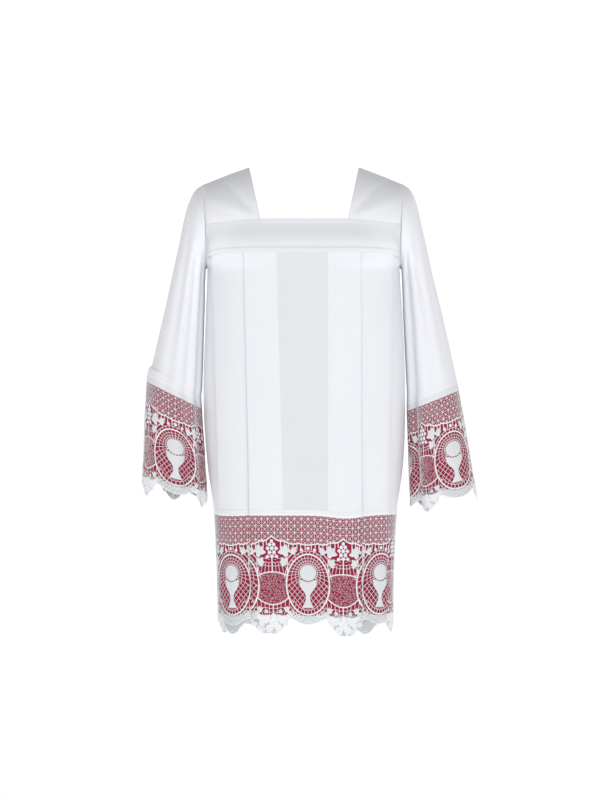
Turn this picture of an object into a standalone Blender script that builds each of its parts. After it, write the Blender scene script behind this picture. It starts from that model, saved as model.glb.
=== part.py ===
"""A surplice, worn open and hollow: pleated panels, a square neck, set-in sleeves and deep lace over crimson."""

import math

import bmesh
import bpy
import numpy as np
from mathutils import Vector
from mathutils.geometry import delaunay_2d_cdt

# Metres. X runs to the right of the picture, the front faces -Y, Z is up and 0 is the top of the shoulder.
COLLECTION = "surplice"

# Cloth thicknesses and the gap left at every seam.
CLOTH = 0.0012
BAND_CLOTH = 0.0016
LINING = 0.0010
LACE = 0.0010
SEAM = 0.0003
LACE_LIFT = 0.0017
SLEEVE_LACE_LIFT = 0.0018

# Torso: one column for each height. Half widths to either side, and the depth from side seam to front.
TORSO = {
    "height": (-0.950, -0.757, -0.694, -0.600, -0.486, -0.300, -0.202, -0.034),
    "left": (0.1710, 0.1768, 0.1806, 0.1935, 0.2015, 0.1975, 0.1940, 0.2010),
    "right": (0.1780, 0.1820, 0.1865, 0.1990, 0.2035, 0.1980, 0.1920, 0.1980),
    "depth": (0.1280, 0.1260, 0.1250, 0.1240, 0.1225, 0.1205, 0.1190, 0.1080),
}
ROUNDNESS = 2.8

# Armhole: an ellipse seen from the side, which the torso's edges and the sleeve's first ring share.
ARMHOLE_MIDDLE = -0.118
ARMHOLE_HALF_HEIGHT = 0.084
ARMHOLE_HALF_DEPTH = 0.088
UNDERARM = ARMHOLE_MIDDLE - ARMHOLE_HALF_HEIGHT

# Band: height of its upper edge at the neck and at the armhole, and of its lower edge.
BAND_TOP_NECK = -0.106
BAND_TOP_ARM = -0.118
BAND_FOOT_MIDDLE = -0.174
BAND_FOOT_ARM = -0.199
BAND_FOLD = 0.010
BAND_FOLD_RISE = 0.0006
BAND_TUCK = 0.008
BAND_ANGLES = (5, 12, 20, 29, 37, 45, 53, 61, 69, 76, 83, 90)
# How far the band stands off the body over the pleats, by its share of the way round to the armhole.
BAND_LIFT = {"out": (0.0, 0.37, 0.46, 0.76, 0.86, 1.0), "lift": (0.0108, 0.0108, 0.0075, 0.0072, 0.0010, 0.0)}
PANEL_FREE = 0.80
PANEL_TAPER = 0.30
PANEL_ROWS = (-0.300, -0.486, -0.600)
SHOULDER_COLUMNS = 7
SHOULDER_ROWS = 15
SHOULDER_LEAN = 1.35
NECK_HALF_FRONT = 0.087
NECK_HALF_TOP = 0.110
RIDGE_NECK = 0.0
RIDGE_ARM = ARMHOLE_MIDDLE + ARMHOLE_HALF_HEIGHT

# Knife pleats, a row for each fold: where the folded edge lies at the band and at the lace.
PLEATS = {
    "left": ({"top": 0.1185, "foot": 0.1045}, {"top": 0.1820, "foot": 0.1650}),
    "right": ({"top": 0.1118, "foot": 0.1110}, {"top": 0.1765, "foot": 0.1640}),
}
PLEAT_DEPTH = 0.064
EDGE_RADIUS_TOP = 0.0010
EDGE_RADIUS_FOOT = 0.0010
UNDER_RADIUS_TOP = 0.0011
UNDER_RADIUS_FOOT = 0.0026
FLAT_STEPS = 4
FOLD_STEPS = 3
UNDER_STEPS = (3, 4)
SIDE_STEPS = 8

# Hem: the lace starts here, a little over the white cloth, and dips where the hem hangs lower.
LACE_TOP = -0.694
LACE_OVER = 0.003
HEM_DIPS = ({"x": 0.083, "drop": 0.006, "spread": 0.040}, {"x": -0.150, "drop": 0.002, "spread": 0.030})
LINING_DROP = 0.202

# Sleeves below the armhole, a column for each ring: its outer and inner point seen from the front, and
# half its depth. The last ring is the lace's lowest point and the one before it the lace's upper edge.
SLEEVES = {
    "left": {
        "outer_x": (0.2200, 0.2340, 0.2430, 0.2510, 0.2660, 0.2790, 0.2930, 0.3060, 0.3160, 0.3266),
        "outer_z": (-0.0470, -0.0760, -0.1100, -0.1500, -0.2180, -0.2800, -0.3400, -0.3960, -0.4280, -0.6570),
        "inner_x": (0.1985, 0.1988, 0.1992, 0.1997, 0.2005, 0.2020, 0.2035, 0.2055, 0.2068, 0.1943),
        "inner_z": (-0.2060, -0.2140, -0.2260, -0.2400, -0.2850, -0.3350, -0.3900, -0.4450, -0.4830, -0.6855),
        "depth": (0.0860, 0.0820, 0.0780, 0.0740, 0.0700, 0.0680, 0.0670, 0.0660, 0.0660, 0.0660),
    },
    "right": {
        "outer_x": (0.2160, 0.2280, 0.2360, 0.2450, 0.2600, 0.2750, 0.2890, 0.3020, 0.3110, 0.3495),
        "outer_z": (-0.0470, -0.0760, -0.1100, -0.1500, -0.2180, -0.2800, -0.3400, -0.4000, -0.4460, -0.6728),
        "inner_x": (0.1965, 0.1970, 0.1977, 0.1983, 0.1997, 0.2022, 0.2050, 0.2075, 0.2080, 0.2154),
        "inner_z": (-0.2060, -0.2140, -0.2260, -0.2400, -0.2850, -0.3400, -0.4000, -0.4550, -0.4880, -0.6990),
        "depth": (0.0860, 0.0820, 0.0780, 0.0740, 0.0700, 0.0680, 0.0670, 0.0660, 0.0660, 0.0660),
    },
}
# Soft folds of the sleeves: angle round the ring from the outer edge, at the top and at the cuff.
SLEEVE_FOLDS = {"left": (
    {"top": 105, "foot": 118, "depth": 0.008, "width": 13},
    {"top": 140, "foot": 152, "depth": 0.007, "width": 10},
    {"top": 60, "foot": 72, "depth": 0.005, "width": 14},
    {"top": -95, "foot": -110, "depth": 0.008, "width": 14},
    {"top": -140, "foot": -148, "depth": 0.006, "width": 14},
), "right": (
    {"top": 120, "foot": 146, "depth": 0.013, "width": 15},
    {"top": 70, "foot": 84, "depth": 0.004, "width": 16},
    {"top": -110, "foot": -128, "depth": 0.010, "width": 15},
    {"top": -70, "foot": -80, "depth": 0.005, "width": 14},
)}
SLEEVE_SIDES = 28
SLEEVE_CLEAR = 0.0017
SLEEVE_LACE_LENGTH = 0.240
SLEEVE_MEDALLION = {"left": 90.0, "right": 70.0}
SLEEVE_REPEATS = 3

# Lace: one repeat holds an oval medallion and a panel; drops are measured down from its upper edge.
REPEAT = 0.140
HEM_REPEATS = 4
# Along the hem the lace is eased inside the pleats: its pattern's own length at lengths along the panel.
HEM_EASE = {
    "length": (-0.6000, -0.2300, -0.1100, 0.1100, 0.2300, 0.6000),
    "pattern": (-0.5885, -0.2185, -0.1180, 0.1020, 0.2055, 0.5755),
}
NO_EASE = {"length": (-1.0, 1.0), "pattern": (-1.0, 1.0)}
MEDALLION_DROP = 0.143
NET_HALF_WIDTH = 0.037
NET_HALF_HEIGHT = 0.054
NET_CELLS = 14
NET_RING = (0.68, 0.92)
NET_BAR = 0.0034
MESH_DROP = 0.066
ROUND_TIP = 0.2225
POINT_TIP = 0.241
VALLEY = 0.208
SCALLOP_SPLIT = 0.26
SCALLOP_POINTS = (0.0, 0.13, 0.26, 0.33, 0.42, 0.50, 0.58, 0.67, 0.74, 0.87)
TIP_CLEAR = 0.003
GAP_REACH = 0.030
SCALLOP_GAP = {"drop": 0.2120, "bow": 0.0012, "width": 0.0075, "height": 0.0060, "pitch": 0.0125}

COLOURS = {
    "white_cloth": (0.86, 0.88, 0.92),
    "lace_thread": (0.90, 0.90, 0.92),
    "crimson_cloth": (0.27, 0.012, 0.035),
}


def between(first, last, share):
    """A value that share of the way from first to last."""
    return first + (last - first) * share


def torso_value(name, height):
    """A column of the torso table, read at any height."""
    return np.interp(height, TORSO["height"], TORSO[name])


def armhole_forward(height):
    """How far the armhole's edge stands forward of the side seam, from the armhole's ellipse."""
    rise = np.clip((height - ARMHOLE_MIDDLE) / ARMHOLE_HALF_HEIGHT, -1.0, 1.0)
    return np.where(height > UNDERARM, ARMHOLE_HALF_DEPTH * np.sqrt(1.0 - rise * rise), 0.0)


def section(angle, height):
    """The torso's front section: a superellipse that ends at the armhole's edges or at the side seams."""
    width = np.where(angle < 0.0, torso_value("left", height), torso_value("right", height))
    edge = armhole_forward(height)
    power = 2.0 / ROUNDNESS
    x = width * np.sign(angle) * np.abs(np.sin(angle)) ** power
    y = -(edge + (torso_value("depth", height) - edge) * np.abs(np.cos(angle)) ** power)
    return x, y


def angle_at(x, height):
    """The section's angle where it is x from the middle."""
    width = np.where(x < 0.0, torso_value("left", height), torso_value("right", height))
    share = np.clip(np.abs(x) / width, 0.0, 1.0)
    return np.sign(x) * np.arcsin(share ** (ROUNDNESS / 2.0))


def on_torso(angle, height, along, lift):
    """Points on the section, moved along it and lifted out of it, with the height as the last column."""
    step = 0.001
    quarter = math.pi / 2.0
    x0, y0 = section(np.clip(angle - step, -quarter, quarter), height)
    x1, y1 = section(np.clip(angle + step, -quarter, quarter), height)
    run = np.hypot(x1 - x0, y1 - y0)
    tangent_x = (x1 - x0) / run
    tangent_y = (y1 - y0) / run
    x, y = section(angle, height)
    x = x + tangent_x * along + tangent_y * lift
    y = y + tangent_y * along - tangent_x * lift
    return np.stack(np.broadcast_arrays(x, y, height), axis=-1)


def pleated_side(side, height):
    """Stations from the middle of a panel out to its side seam, folded back on itself at each knife pleat."""
    sign = 1.0 if side == "right" else -1.0
    share = (BAND_FOOT_MIDDLE - height) / (BAND_FOOT_MIDDLE - LACE_TOP)
    opened = np.clip(share, 0.0, 1.0)
    edge_radius = between(EDGE_RADIUS_TOP, EDGE_RADIUS_FOOT, opened)
    under_radius = between(UNDER_RADIUS_TOP, UNDER_RADIUS_FOOT, opened)
    level = 4.0 * (edge_radius + under_radius)
    stations = []

    def station(near, far, part, along, lift, turn, layer):
        if layer < 4:
            angle = angle_at(sign * between(near, far, part), height)
        else:
            angle = between(angle_at(sign * near, height), angle_at(sign * far, height), part)
        nothing = np.zeros_like(height)
        stations.append((angle, sign * along + nothing, lift + nothing, sign * math.sin(turn) + nothing,
                         math.cos(turn) + nothing, nothing + layer))

    start = np.zeros_like(height) + 1e-6
    for number, fold in enumerate(PLEATS[side]):
        edge = between(fold["top"], fold["foot"], share)
        under = edge - PLEAT_DEPTH
        for step in range(min(number, 1), FLAT_STEPS):
            station(start, edge, step / FLAT_STEPS, 0.0, level, 0.0, 4 * number)
        for step in range(FOLD_STEPS + 1):
            turn = math.pi * step / FOLD_STEPS
            along = edge_radius * (math.sin(turn) - 1.0)
            station(edge, edge, 0.0, along, level + edge_radius * (math.cos(turn) - 1.0), turn, 4 * number + 1)
        level = level - 2.0 * edge_radius
        for step in range(1, UNDER_STEPS[number]):
            station(edge, under, step / UNDER_STEPS[number], 0.0, level, math.pi, 4 * number + 2)
        for step in range(FOLD_STEPS + 1):
            turn = math.pi * step / FOLD_STEPS
            along = under_radius * (1.0 - math.sin(turn))
            lift = level + under_radius * (math.cos(turn) - 1.0)
            station(under, under, 0.0, along, lift, math.pi - turn, 4 * number + 3)
        level = level - 2.0 * under_radius
        start = under
    first = angle_at(sign * start, height)
    nothing = np.zeros_like(height)
    for step in range(1, SIDE_STEPS + 1):
        angle = between(first, sign * math.pi / 2.0, step / SIDE_STEPS)
        along = -sign * SEAM / 2.0 if step == SIDE_STEPS else 0.0
        stations.append((angle, along + nothing, nothing, nothing, nothing + 1.0, nothing + 8.0))
    return [np.stack(column) for column in zip(*stations)]


def pleated_strip(height):
    """Stations right across a panel, from its left seam to its right one, each a row of values by height."""
    left = pleated_side("left", height)
    right = pleated_side("right", height)
    return [np.concatenate([one[:0:-1], other]) for one, other in zip(left, right)]


def strip_points(height, lift):
    """The panel's points for an array of heights, one for each station, lifted out of the cloth's outer side."""
    angle, along, rise, normal_along, normal_out, _ = pleated_strip(np.asarray(height))
    return on_torso(angle, height, along + normal_along * lift, rise + normal_out * lift)


def strip_row(level, lift):
    """One row of a panel, with a height of its own at each station."""
    each = np.arange(len(level))
    return strip_points(level, lift)[each, each]


def station_lengths():
    """The cloth's own length from the panel's middle to each station, measured half way down the lace."""
    height = LACE_TOP - MEDALLION_DROP
    points = strip_points(np.full(1, height), 0.0)[:, 0, :2]
    lengths = np.concatenate([[0.0], np.cumsum(np.linalg.norm(np.diff(points, axis=0), axis=1))])
    middle = len(pleated_side("left", np.full(1, height))[0]) - 1
    return lengths - lengths[middle]


def hem_dip(x):
    """How much lower than the rest the upper edge of the lace hangs."""
    return sum(dip["drop"] * np.exp(-(((x - dip["x"]) / dip["spread"]) ** 2)) for dip in HEM_DIPS)


def station_dips():
    """The dip of the hem at each station."""
    points = strip_points(np.full(1, LACE_TOP), 0.0)[:, 0, :]
    return hem_dip(points[:, 0])


def hem_lace_points(length, drop, lift):
    """Points of the hem lace from its own length along the strip and its drop below the upper edge."""
    lengths = station_lengths()
    place = np.interp(length, lengths, np.arange(len(lengths)))
    dip = np.interp(place, np.arange(len(lengths)), station_dips())
    grid = strip_points(LACE_TOP + LACE_OVER - dip - drop, lift)
    first = np.minimum(place.astype(int), len(lengths) - 2)
    share = (place - first)[:, None]
    each = np.arange(len(place))
    return between(grid[first, each], grid[first + 1, each], share)


def sleeve_value(side, name, place):
    """A column of a sleeve's table with the armhole put in front of it, read at any ring."""
    forward = {"outer_x": torso_value(side, RIDGE_ARM) + SLEEVE_CLEAR, "outer_z": RIDGE_ARM,
               "inner_x": torso_value(side, UNDERARM) + SLEEVE_CLEAR, "inner_z": UNDERARM,
               "depth": ARMHOLE_HALF_DEPTH}
    column = (float(forward[name]),) + SLEEVES[side][name]
    return np.interp(place, np.arange(len(column)), column)


def sleeve_ring(side, place, angle):
    """Points of a sleeve: place counts rings down from the armhole, angle goes round from the outer edge."""
    last = len(SLEEVES[side]["depth"]) - 1
    outer_x = sleeve_value(side, "outer_x", place)
    outer_z = sleeve_value(side, "outer_z", place)
    inner_x = sleeve_value(side, "inner_x", place)
    inner_z = sleeve_value(side, "inner_z", place)
    fall = np.clip(place / last, 0.0, 1.0)
    trough = np.zeros_like(fall + angle)
    for fold in SLEEVE_FOLDS[side]:
        off = np.degrees(angle) - between(fold["top"], fold["foot"], fall)
        off = (off + 180.0) % 360.0 - 180.0
        trough = trough + fold["depth"] * np.exp(-((off / fold["width"]) ** 2))
    trough = trough * np.clip((place - 1.0) / 3.0, 0.0, 1.0)
    half = (outer_x - inner_x) / 2.0
    half_z = (outer_z - inner_z) / 2.0
    size = 1.0 - trough / np.hypot(half, half_z)
    x = (outer_x + inner_x) / 2.0 + half * np.cos(angle) * size
    y = -sleeve_value(side, "depth", place) * np.sin(angle) * size
    z = (outer_z + inner_z) / 2.0 + half_z * np.cos(angle) * size
    sign = -1.0 if side == "left" else 1.0
    return np.stack(np.broadcast_arrays(sign * x, y, z), axis=-1)


def sleeve_points(side, place, angle, lift):
    """Sleeve points lifted out of the cloth along its normal, which is the cross product of its two slopes."""
    step = 0.02
    round_way = sleeve_ring(side, place, angle + step) - sleeve_ring(side, place, angle - step)
    down_way = sleeve_ring(side, place + step, angle) - sleeve_ring(side, place - step, angle)
    normal = np.cross(down_way, round_way) if side == "left" else np.cross(round_way, down_way)
    normal /= np.linalg.norm(normal, axis=-1, keepdims=True)
    return sleeve_ring(side, place, angle) + normal * lift


def sleeve_lace_points(side, length, drop, lift):
    """Points of a sleeve's lace, a little shortened, on the same flat facets as the lining behind it."""
    last = float(len(SLEEVES[side]["depth"]) - 1)
    angle = np.radians(SLEEVE_MEDALLION[side] + 360.0 * length / (REPEAT * SLEEVE_REPEATS))
    facet = 2.0 * math.pi / SLEEVE_SIDES
    first = np.floor(angle / facet + 1e-9)
    share = (angle / facet - first)[:, None]
    place = last + np.where(drop < LACE_OVER, (drop - LACE_OVER) / 0.035, (drop - LACE_OVER) / SLEEVE_LACE_LENGTH)
    low = sleeve_points(side, place, first * facet, lift)
    high = sleeve_points(side, place, (first + 1.0) * facet, lift)
    return between(low, high, share)


def scallop(length):
    """Drop of the lace's free edge: a shallow cosine lobe under each medallion, a deep one under each panel."""
    off = np.abs((length / REPEAT + 0.5) % 1.0 - 0.5)
    shallow = np.cos(np.clip(off / SCALLOP_SPLIT, 0.0, 1.0) * math.pi / 2.0)
    deep = np.cos(np.clip((0.5 - off) / (0.5 - SCALLOP_SPLIT), 0.0, 1.0) * math.pi / 2.0)
    return VALLEY + (ROUND_TIP - VALLEY) * shallow + (POINT_TIP - VALLEY) * deep


def medallion_gaps(middle):
    """The net's cells round an oval medallion and the gaps in the scallop below it, as outlines."""
    gaps = []
    half_bar = NET_BAR / (NET_HALF_WIDTH + NET_HALF_HEIGHT)
    for cell in range(NET_CELLS):
        first = 2.0 * math.pi * cell / NET_CELLS
        second = 2.0 * math.pi * (cell + 1) / NET_CELLS
        corners = [(NET_RING[0], first + half_bar), (NET_RING[1], first + half_bar),
                   (NET_RING[1], second - half_bar), (NET_RING[0], second - half_bar)]
        gaps.append([(middle + NET_HALF_WIDTH * ring * math.cos(turn),
                      MEDALLION_DROP + NET_HALF_HEIGHT * ring * math.sin(turn)) for ring, turn in corners])
    for place in (-1.5, -0.5, 0.5, 1.5):
        across = place * SCALLOP_GAP["pitch"]
        drop = SCALLOP_GAP["drop"] - SCALLOP_GAP["bow"] * place * place
        wide = SCALLOP_GAP["width"] / 2.0
        tall = SCALLOP_GAP["height"] / 2.0
        gaps.append([(middle + across - wide, drop), (middle + across, drop + tall),
                     (middle + across + wide, drop), (middle + across, drop - tall)])
    return gaps


def inside(point, outline):
    """Whether a flat point lies within an outline, by counting the edges that it is left of."""
    crossings = 0
    for (x0, y0), (x1, y1) in zip(outline, outline[1:] + outline[:1]):
        if (y0 > point[1]) != (y1 > point[1]):
            crossings += point[0] < x0 + (point[1] - y0) * (x1 - x0) / (y1 - y0)
    return crossings % 2 == 1


def cut_sheet(columns, rows, gaps, ease):
    """A flat strip of lace from its columns down to the scallops, triangulated round its gaps, in millimetres."""
    first = columns[0]
    last = columns[-1]
    tips = [(turn + off) * REPEAT for turn in range(-HEM_REPEATS, HEM_REPEATS + 1) for off in SCALLOP_POINTS]
    tips = [float(np.interp(tip, ease["pattern"], ease["length"])) for tip in tips]
    tips = [tip for tip in tips if first + TIP_CLEAR < tip < last - TIP_CLEAR]
    tips = [tip for tip in tips if min(abs(tip - column) for column in columns) > TIP_CLEAR]
    feet = sorted(columns + tips)
    points = []
    edges = []

    def free_edge(length):
        return float(scallop(np.interp(length, ease["length"], ease["pattern"])))

    def chain(outline, closed):
        start = len(points)
        points.extend(Vector((1000.0 * length, 1000.0 * drop)) for length, drop in outline)
        edges.extend((start + number, start + number + 1) for number in range(len(outline) - 1))
        if closed:
            edges.append((start + len(outline) - 1, start))

    border = [(column, 0.0) for column in columns]
    border += [(length, free_edge(length)) for length in reversed(feet)]
    chain(border, True)
    for column in columns[1:-1]:
        chain([(column, drop) for drop in (*rows, free_edge(column))], False)
    for outline in gaps:
        chain(outline, True)
    found = delaunay_2d_cdt(points, edges, [], 0, 0.02)
    flat = np.array([(point.x, point.y) for point in found[0]]) / 1000.0
    faces = []
    for face in found[2]:
        middle = flat[list(face)].mean(axis=0)
        near = [outline for outline in gaps if abs(outline[0][0] - middle[0]) < GAP_REACH]
        if inside(middle, border) and not any(inside(middle, outline) for outline in near):
            faces.append(tuple(face))
    used = sorted({corner for face in faces for corner in face})
    renumber = {old: new for new, old in enumerate(used)}
    return flat[used], [tuple(renumber[corner] for corner in face) for face in faces]


def band_foot(angle):
    """Height of the band's lower edge, which dips to the underarm at either side."""
    return between(BAND_FOOT_MIDDLE, BAND_FOOT_ARM, (np.abs(angle) / (math.pi / 2.0)) ** 4)


def band_top(angle, side_height):
    """Height of the band's upper edge: level across the neck, then down to the armhole."""
    x, _ = section(angle, np.full_like(angle, side_height))
    width = np.where(angle < 0.0, torso_value("left", side_height), torso_value("right", side_height))
    out = np.clip((np.abs(x) - NECK_HALF_FRONT) / (width - NECK_HALF_FRONT), 0.0, 1.0)
    return between(BAND_TOP_NECK, BAND_TOP_ARM, out)


def material(name):
    """A plain Principled material in one of the part's colours."""
    found = bpy.data.materials.new(name)
    found.use_nodes = True
    shader = found.node_tree.nodes["Principled BSDF"]
    shader.inputs["Base Color"].default_value = (*COLOURS[name], 1.0)
    shader.inputs["Roughness"].default_value = 0.8
    shader.inputs["Metallic"].default_value = 0.0
    return found


def shell(name, colour, points, faces, thickness):
    """A piece of cloth: a surface given its thickness to either side by Solidify, all its faces turned outwards."""
    mesh = bpy.data.meshes.new(name)
    mesh.from_pydata([tuple(point) for point in points], [], faces)
    work = bmesh.new()
    work.from_mesh(mesh)
    bmesh.ops.recalc_face_normals(work, faces=work.faces)
    work.to_mesh(mesh)
    work.free()
    mesh.shade_smooth()
    mesh.materials.append(colour)
    piece = bpy.data.objects.new(name, mesh)
    bpy.data.collections[COLLECTION].objects.link(piece)
    wall = piece.modifiers.new("cloth", "SOLIDIFY")
    wall.thickness = thickness
    wall.offset = 0.0
    return piece


def grid_shell(name, colour, grid, thickness, closed=False):
    """A cloth shell on a grid of points, rows by columns, which may close into a tube."""
    rows, columns = grid.shape[:2]
    faces = []
    for row in range(rows - 1):
        for column in range(columns if closed else columns - 1):
            after = (column + 1) % columns
            faces.append((row * columns + column, row * columns + after,
                          (row + 1) * columns + after, (row + 1) * columns + column))
    return shell(name, colour, grid.reshape(-1, 3), faces, thickness)


def facing(points, back):
    """The same points, or their mirror image behind for the back of the garment."""
    return points * np.array([1.0, -1.0 if back else 1.0, 1.0])


def make_panel(name, colour, back):
    """A pleated white panel, from under the band's fold down to the lace."""
    angle = pleated_strip(np.full(1, BAND_FOOT_MIDDLE))[0][:, 0]
    out = np.abs(angle) / (math.pi / 2.0)
    top = band_foot(angle) + BAND_TUCK * np.clip((PANEL_FREE - out) / PANEL_TAPER, 0.0, 1.0) - 2.0 * SEAM
    foot = LACE_TOP - station_dips()
    rows = []
    for level in (top, *(np.full_like(top, height) for height in PANEL_ROWS), foot):
        rows.append(strip_row(level, 0.0))
    grid_shell(name, colour, facing(np.array(rows), back), CLOTH)


def make_lining(name, colour, back):
    """The crimson strip behind the hem lace, straight along its lower edge."""
    top = LACE_TOP - station_dips() - SEAM
    rows = []
    for level in (top, np.full_like(top, LACE_TOP + LACE_OVER - MESH_DROP), np.full_like(top, LACE_TOP - LINING_DROP)):
        rows.append(strip_row(level, 0.0))
    grid_shell(name, colour, facing(np.array(rows), back), LINING)


def uncovered(height):
    """Which stations show from outside: those of a layer that lie beyond the folded edge over it."""
    angle, _, _, _, _, layer = (column[:, 0] for column in pleated_strip(np.full(1, height)))
    share = (BAND_FOOT_MIDDLE - height) / (BAND_FOOT_MIDDLE - LACE_TOP)
    shows = layer == 0
    for side, sign in (("left", -1.0), ("right", 1.0)):
        for number, fold in enumerate(PLEATS[side]):
            edge = abs(float(angle_at(sign * between(fold["top"], fold["foot"], share), height)))
            shows = shows | ((layer == 4 * number + 4) & (sign * angle > edge))
    return shows


def make_hem_lace(name, colour, back):
    """The hem lace over the lining, pleated with it, cut through where its gaps are widest."""
    lengths = station_lengths()
    shows = uncovered(LACE_TOP - MEDALLION_DROP)
    gaps = []
    for turn in range(-HEM_REPEATS, HEM_REPEATS + 1):
        for drawn in medallion_gaps(turn * REPEAT):
            outline = [(float(np.interp(along, HEM_EASE["pattern"], HEM_EASE["length"])), drop) for along, drop in drawn]
            reach = [corner[0] for corner in outline]
            first, last = np.searchsorted(lengths, [min(reach) - NET_BAR, max(reach) + NET_BAR])
            if first > 0 and last < len(lengths) and shows[first - 1:last + 1].all():
                gaps.append(outline)
    flat, faces = cut_sheet([float(length) for length in lengths], (0.0, MESH_DROP), gaps, HEM_EASE)
    points = hem_lace_points(flat[:, 0], flat[:, 1], LACE_LIFT)
    shell(name, colour, facing(points, back), faces, LACE)
    return len(gaps)


def make_band(name, colour, back):
    """The band across the chest, its lower edge folded up and a little proud."""
    half = np.radians(np.array(BAND_ANGLES))
    angle = np.concatenate([-half[::-1], [0.0], half])
    out = np.abs(angle) / (math.pi / 2.0)
    top = band_top(angle, BAND_TOP_ARM)
    foot = band_foot(angle)
    full = np.interp(out, BAND_LIFT["out"], BAND_LIFT["lift"])
    rise = BAND_FOLD_RISE * np.clip((1.0 - out) * 8.0, 0.0, 1.0)
    above = BAND_FOLD + 0.5 * SEAM
    rows = []
    for share, level in ((0.0, top), (0.8, between(top, foot, 0.55)), (1.0, foot + above)):
        rows.append(on_torso(angle, level, 0.0, full * share))
    for level in (foot + BAND_FOLD - 0.5 * SEAM, foot):
        rows.append(on_torso(angle, level, 0.0, full + rise))
    grid_shell(name, colour, facing(np.array(rows), back), BAND_CLOTH)


def make_shoulder(name, colour, side):
    """A wide strip over one shoulder: each column is half an ellipse from the front band to the back one."""
    sign = -1.0 if side == "left" else 1.0
    column = np.linspace(0.0, 1.0, SHOULDER_COLUMNS)
    width = float(torso_value(side, BAND_TOP_ARM))
    front_x = between(NECK_HALF_FRONT, width, column)
    angle = angle_at(sign * front_x, np.full_like(column, BAND_TOP_ARM))
    front_z = band_top(angle, BAND_TOP_ARM) + SEAM
    front = on_torso(angle, front_z, 0.0, 0.0)
    ridge_x = between(NECK_HALF_TOP, float(torso_value(side, RIDGE_ARM)) + SLEEVE_CLEAR - SEAM, column)
    ridge_z = between(RIDGE_NECK, RIDGE_ARM, column ** 1.1)
    turn = np.linspace(0.0, math.pi, SHOULDER_ROWS)[:, None]
    rise = np.sin(turn) ** between(SHOULDER_LEAN, 1.0, column)
    x = between(front[:, 0], sign * ridge_x, rise)
    y = front[:, 1] * np.cos(turn)
    z = between(front_z, ridge_z, rise)
    grid_shell(name, colour, np.stack([x, y, z], axis=-1), BAND_CLOTH)


def make_sleeve(name, colour, side):
    """A sleeve from the armhole to the lace, as rings of the table."""
    last = len(SLEEVES[side]["depth"]) - 1
    angle = np.arange(SLEEVE_SIDES) * 2.0 * math.pi / SLEEVE_SIDES
    place = np.arange(last + 1, dtype=float)[:, None]
    grid_shell(name, colour, sleeve_points(side, place, angle[None, :], 0.0), CLOTH, closed=True)


def make_sleeve_lining(name, colour, side):
    """The crimson tube behind a sleeve's lace."""
    last = len(SLEEVES[side]["depth"]) - 1
    angle = np.arange(SLEEVE_SIDES) * 2.0 * math.pi / SLEEVE_SIDES
    first = MESH_DROP - LACE_OVER
    drops = np.array([SEAM, first, between(first, LINING_DROP, 0.5), LINING_DROP])
    place = (last + drops / SLEEVE_LACE_LENGTH)[:, None]
    grid_shell(name, colour, sleeve_points(side, place, angle[None, :], 0.0), LINING, closed=True)


def make_sleeve_lace(name, colour, side, first, repeats):
    """One part of a sleeve's lace: so many repeats round it, from the middle of one panel to another."""
    facet = REPEAT * SLEEVE_REPEATS / SLEEVE_SIDES
    shift = SLEEVE_MEDALLION[side] / 360.0 * REPEAT * SLEEVE_REPEATS
    start = first * REPEAT - REPEAT / 2.0 + SEAM / 2.0
    end = start + repeats * REPEAT - SEAM
    inner = [number * facet - shift for number in range(-SLEEVE_SIDES, 2 * SLEEVE_SIDES)]
    inner = [length for length in inner if start + 0.001 < length < end - 0.001]
    columns = [start] + inner + [end]
    gaps = []
    for turn in range(first, first + repeats):
        gaps += medallion_gaps(turn * REPEAT)
    flat, faces = cut_sheet(columns, (0.0, LACE_OVER, MESH_DROP), gaps, NO_EASE)
    points = sleeve_lace_points(side, flat[:, 0], flat[:, 1], SLEEVE_LACE_LIFT)
    shell(name, colour, points, faces, LACE)
    return len(gaps)


def clear_scene():
    """Takes every object out of the scene."""
    for found in list(bpy.data.objects):
        bpy.data.objects.remove(found, do_unlink=True)


def main():
    """Builds the garment, piece by piece."""
    clear_scene()
    collection = bpy.data.collections.new(COLLECTION)
    bpy.context.scene.collection.children.link(collection)
    white = material("white_cloth")
    thread = material("lace_thread")
    crimson = material("crimson_cloth")
    cut = 0
    for end, back in (("front", False), ("back", True)):
        make_panel(end, white, back)
        make_band(f"band_{end}", white, back)
        make_lining(f"lining_{end}", crimson, back)
        cut += make_hem_lace(f"lace_{end}", thread, back)
    for side in ("left", "right"):
        make_shoulder(f"shoulder_{side}", white, side)
        make_sleeve(f"sleeve_{side}", white, side)
        make_sleeve_lining(f"lining_sleeve_{side}", crimson, side)
        cut += make_sleeve_lace(f"lace_sleeve_{side}_front", thread, side, 0, 1)
        cut += make_sleeve_lace(f"lace_sleeve_{side}_back", thread, side, 1, 2)
    print("gaps cut through the lace:", cut)


main()
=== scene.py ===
# %% [markdown]
# # A surplice with a pleated front and deep lace over crimson
# The garment is worn in church over a long robe. It is hung open here, as if on a wearer who isn't there.
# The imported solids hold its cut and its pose. Each solid is now covered by a finer sheet of cloth or lace
# that is worked out from the same named sizes, so nothing has to be fitted by eye.

import math

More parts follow.
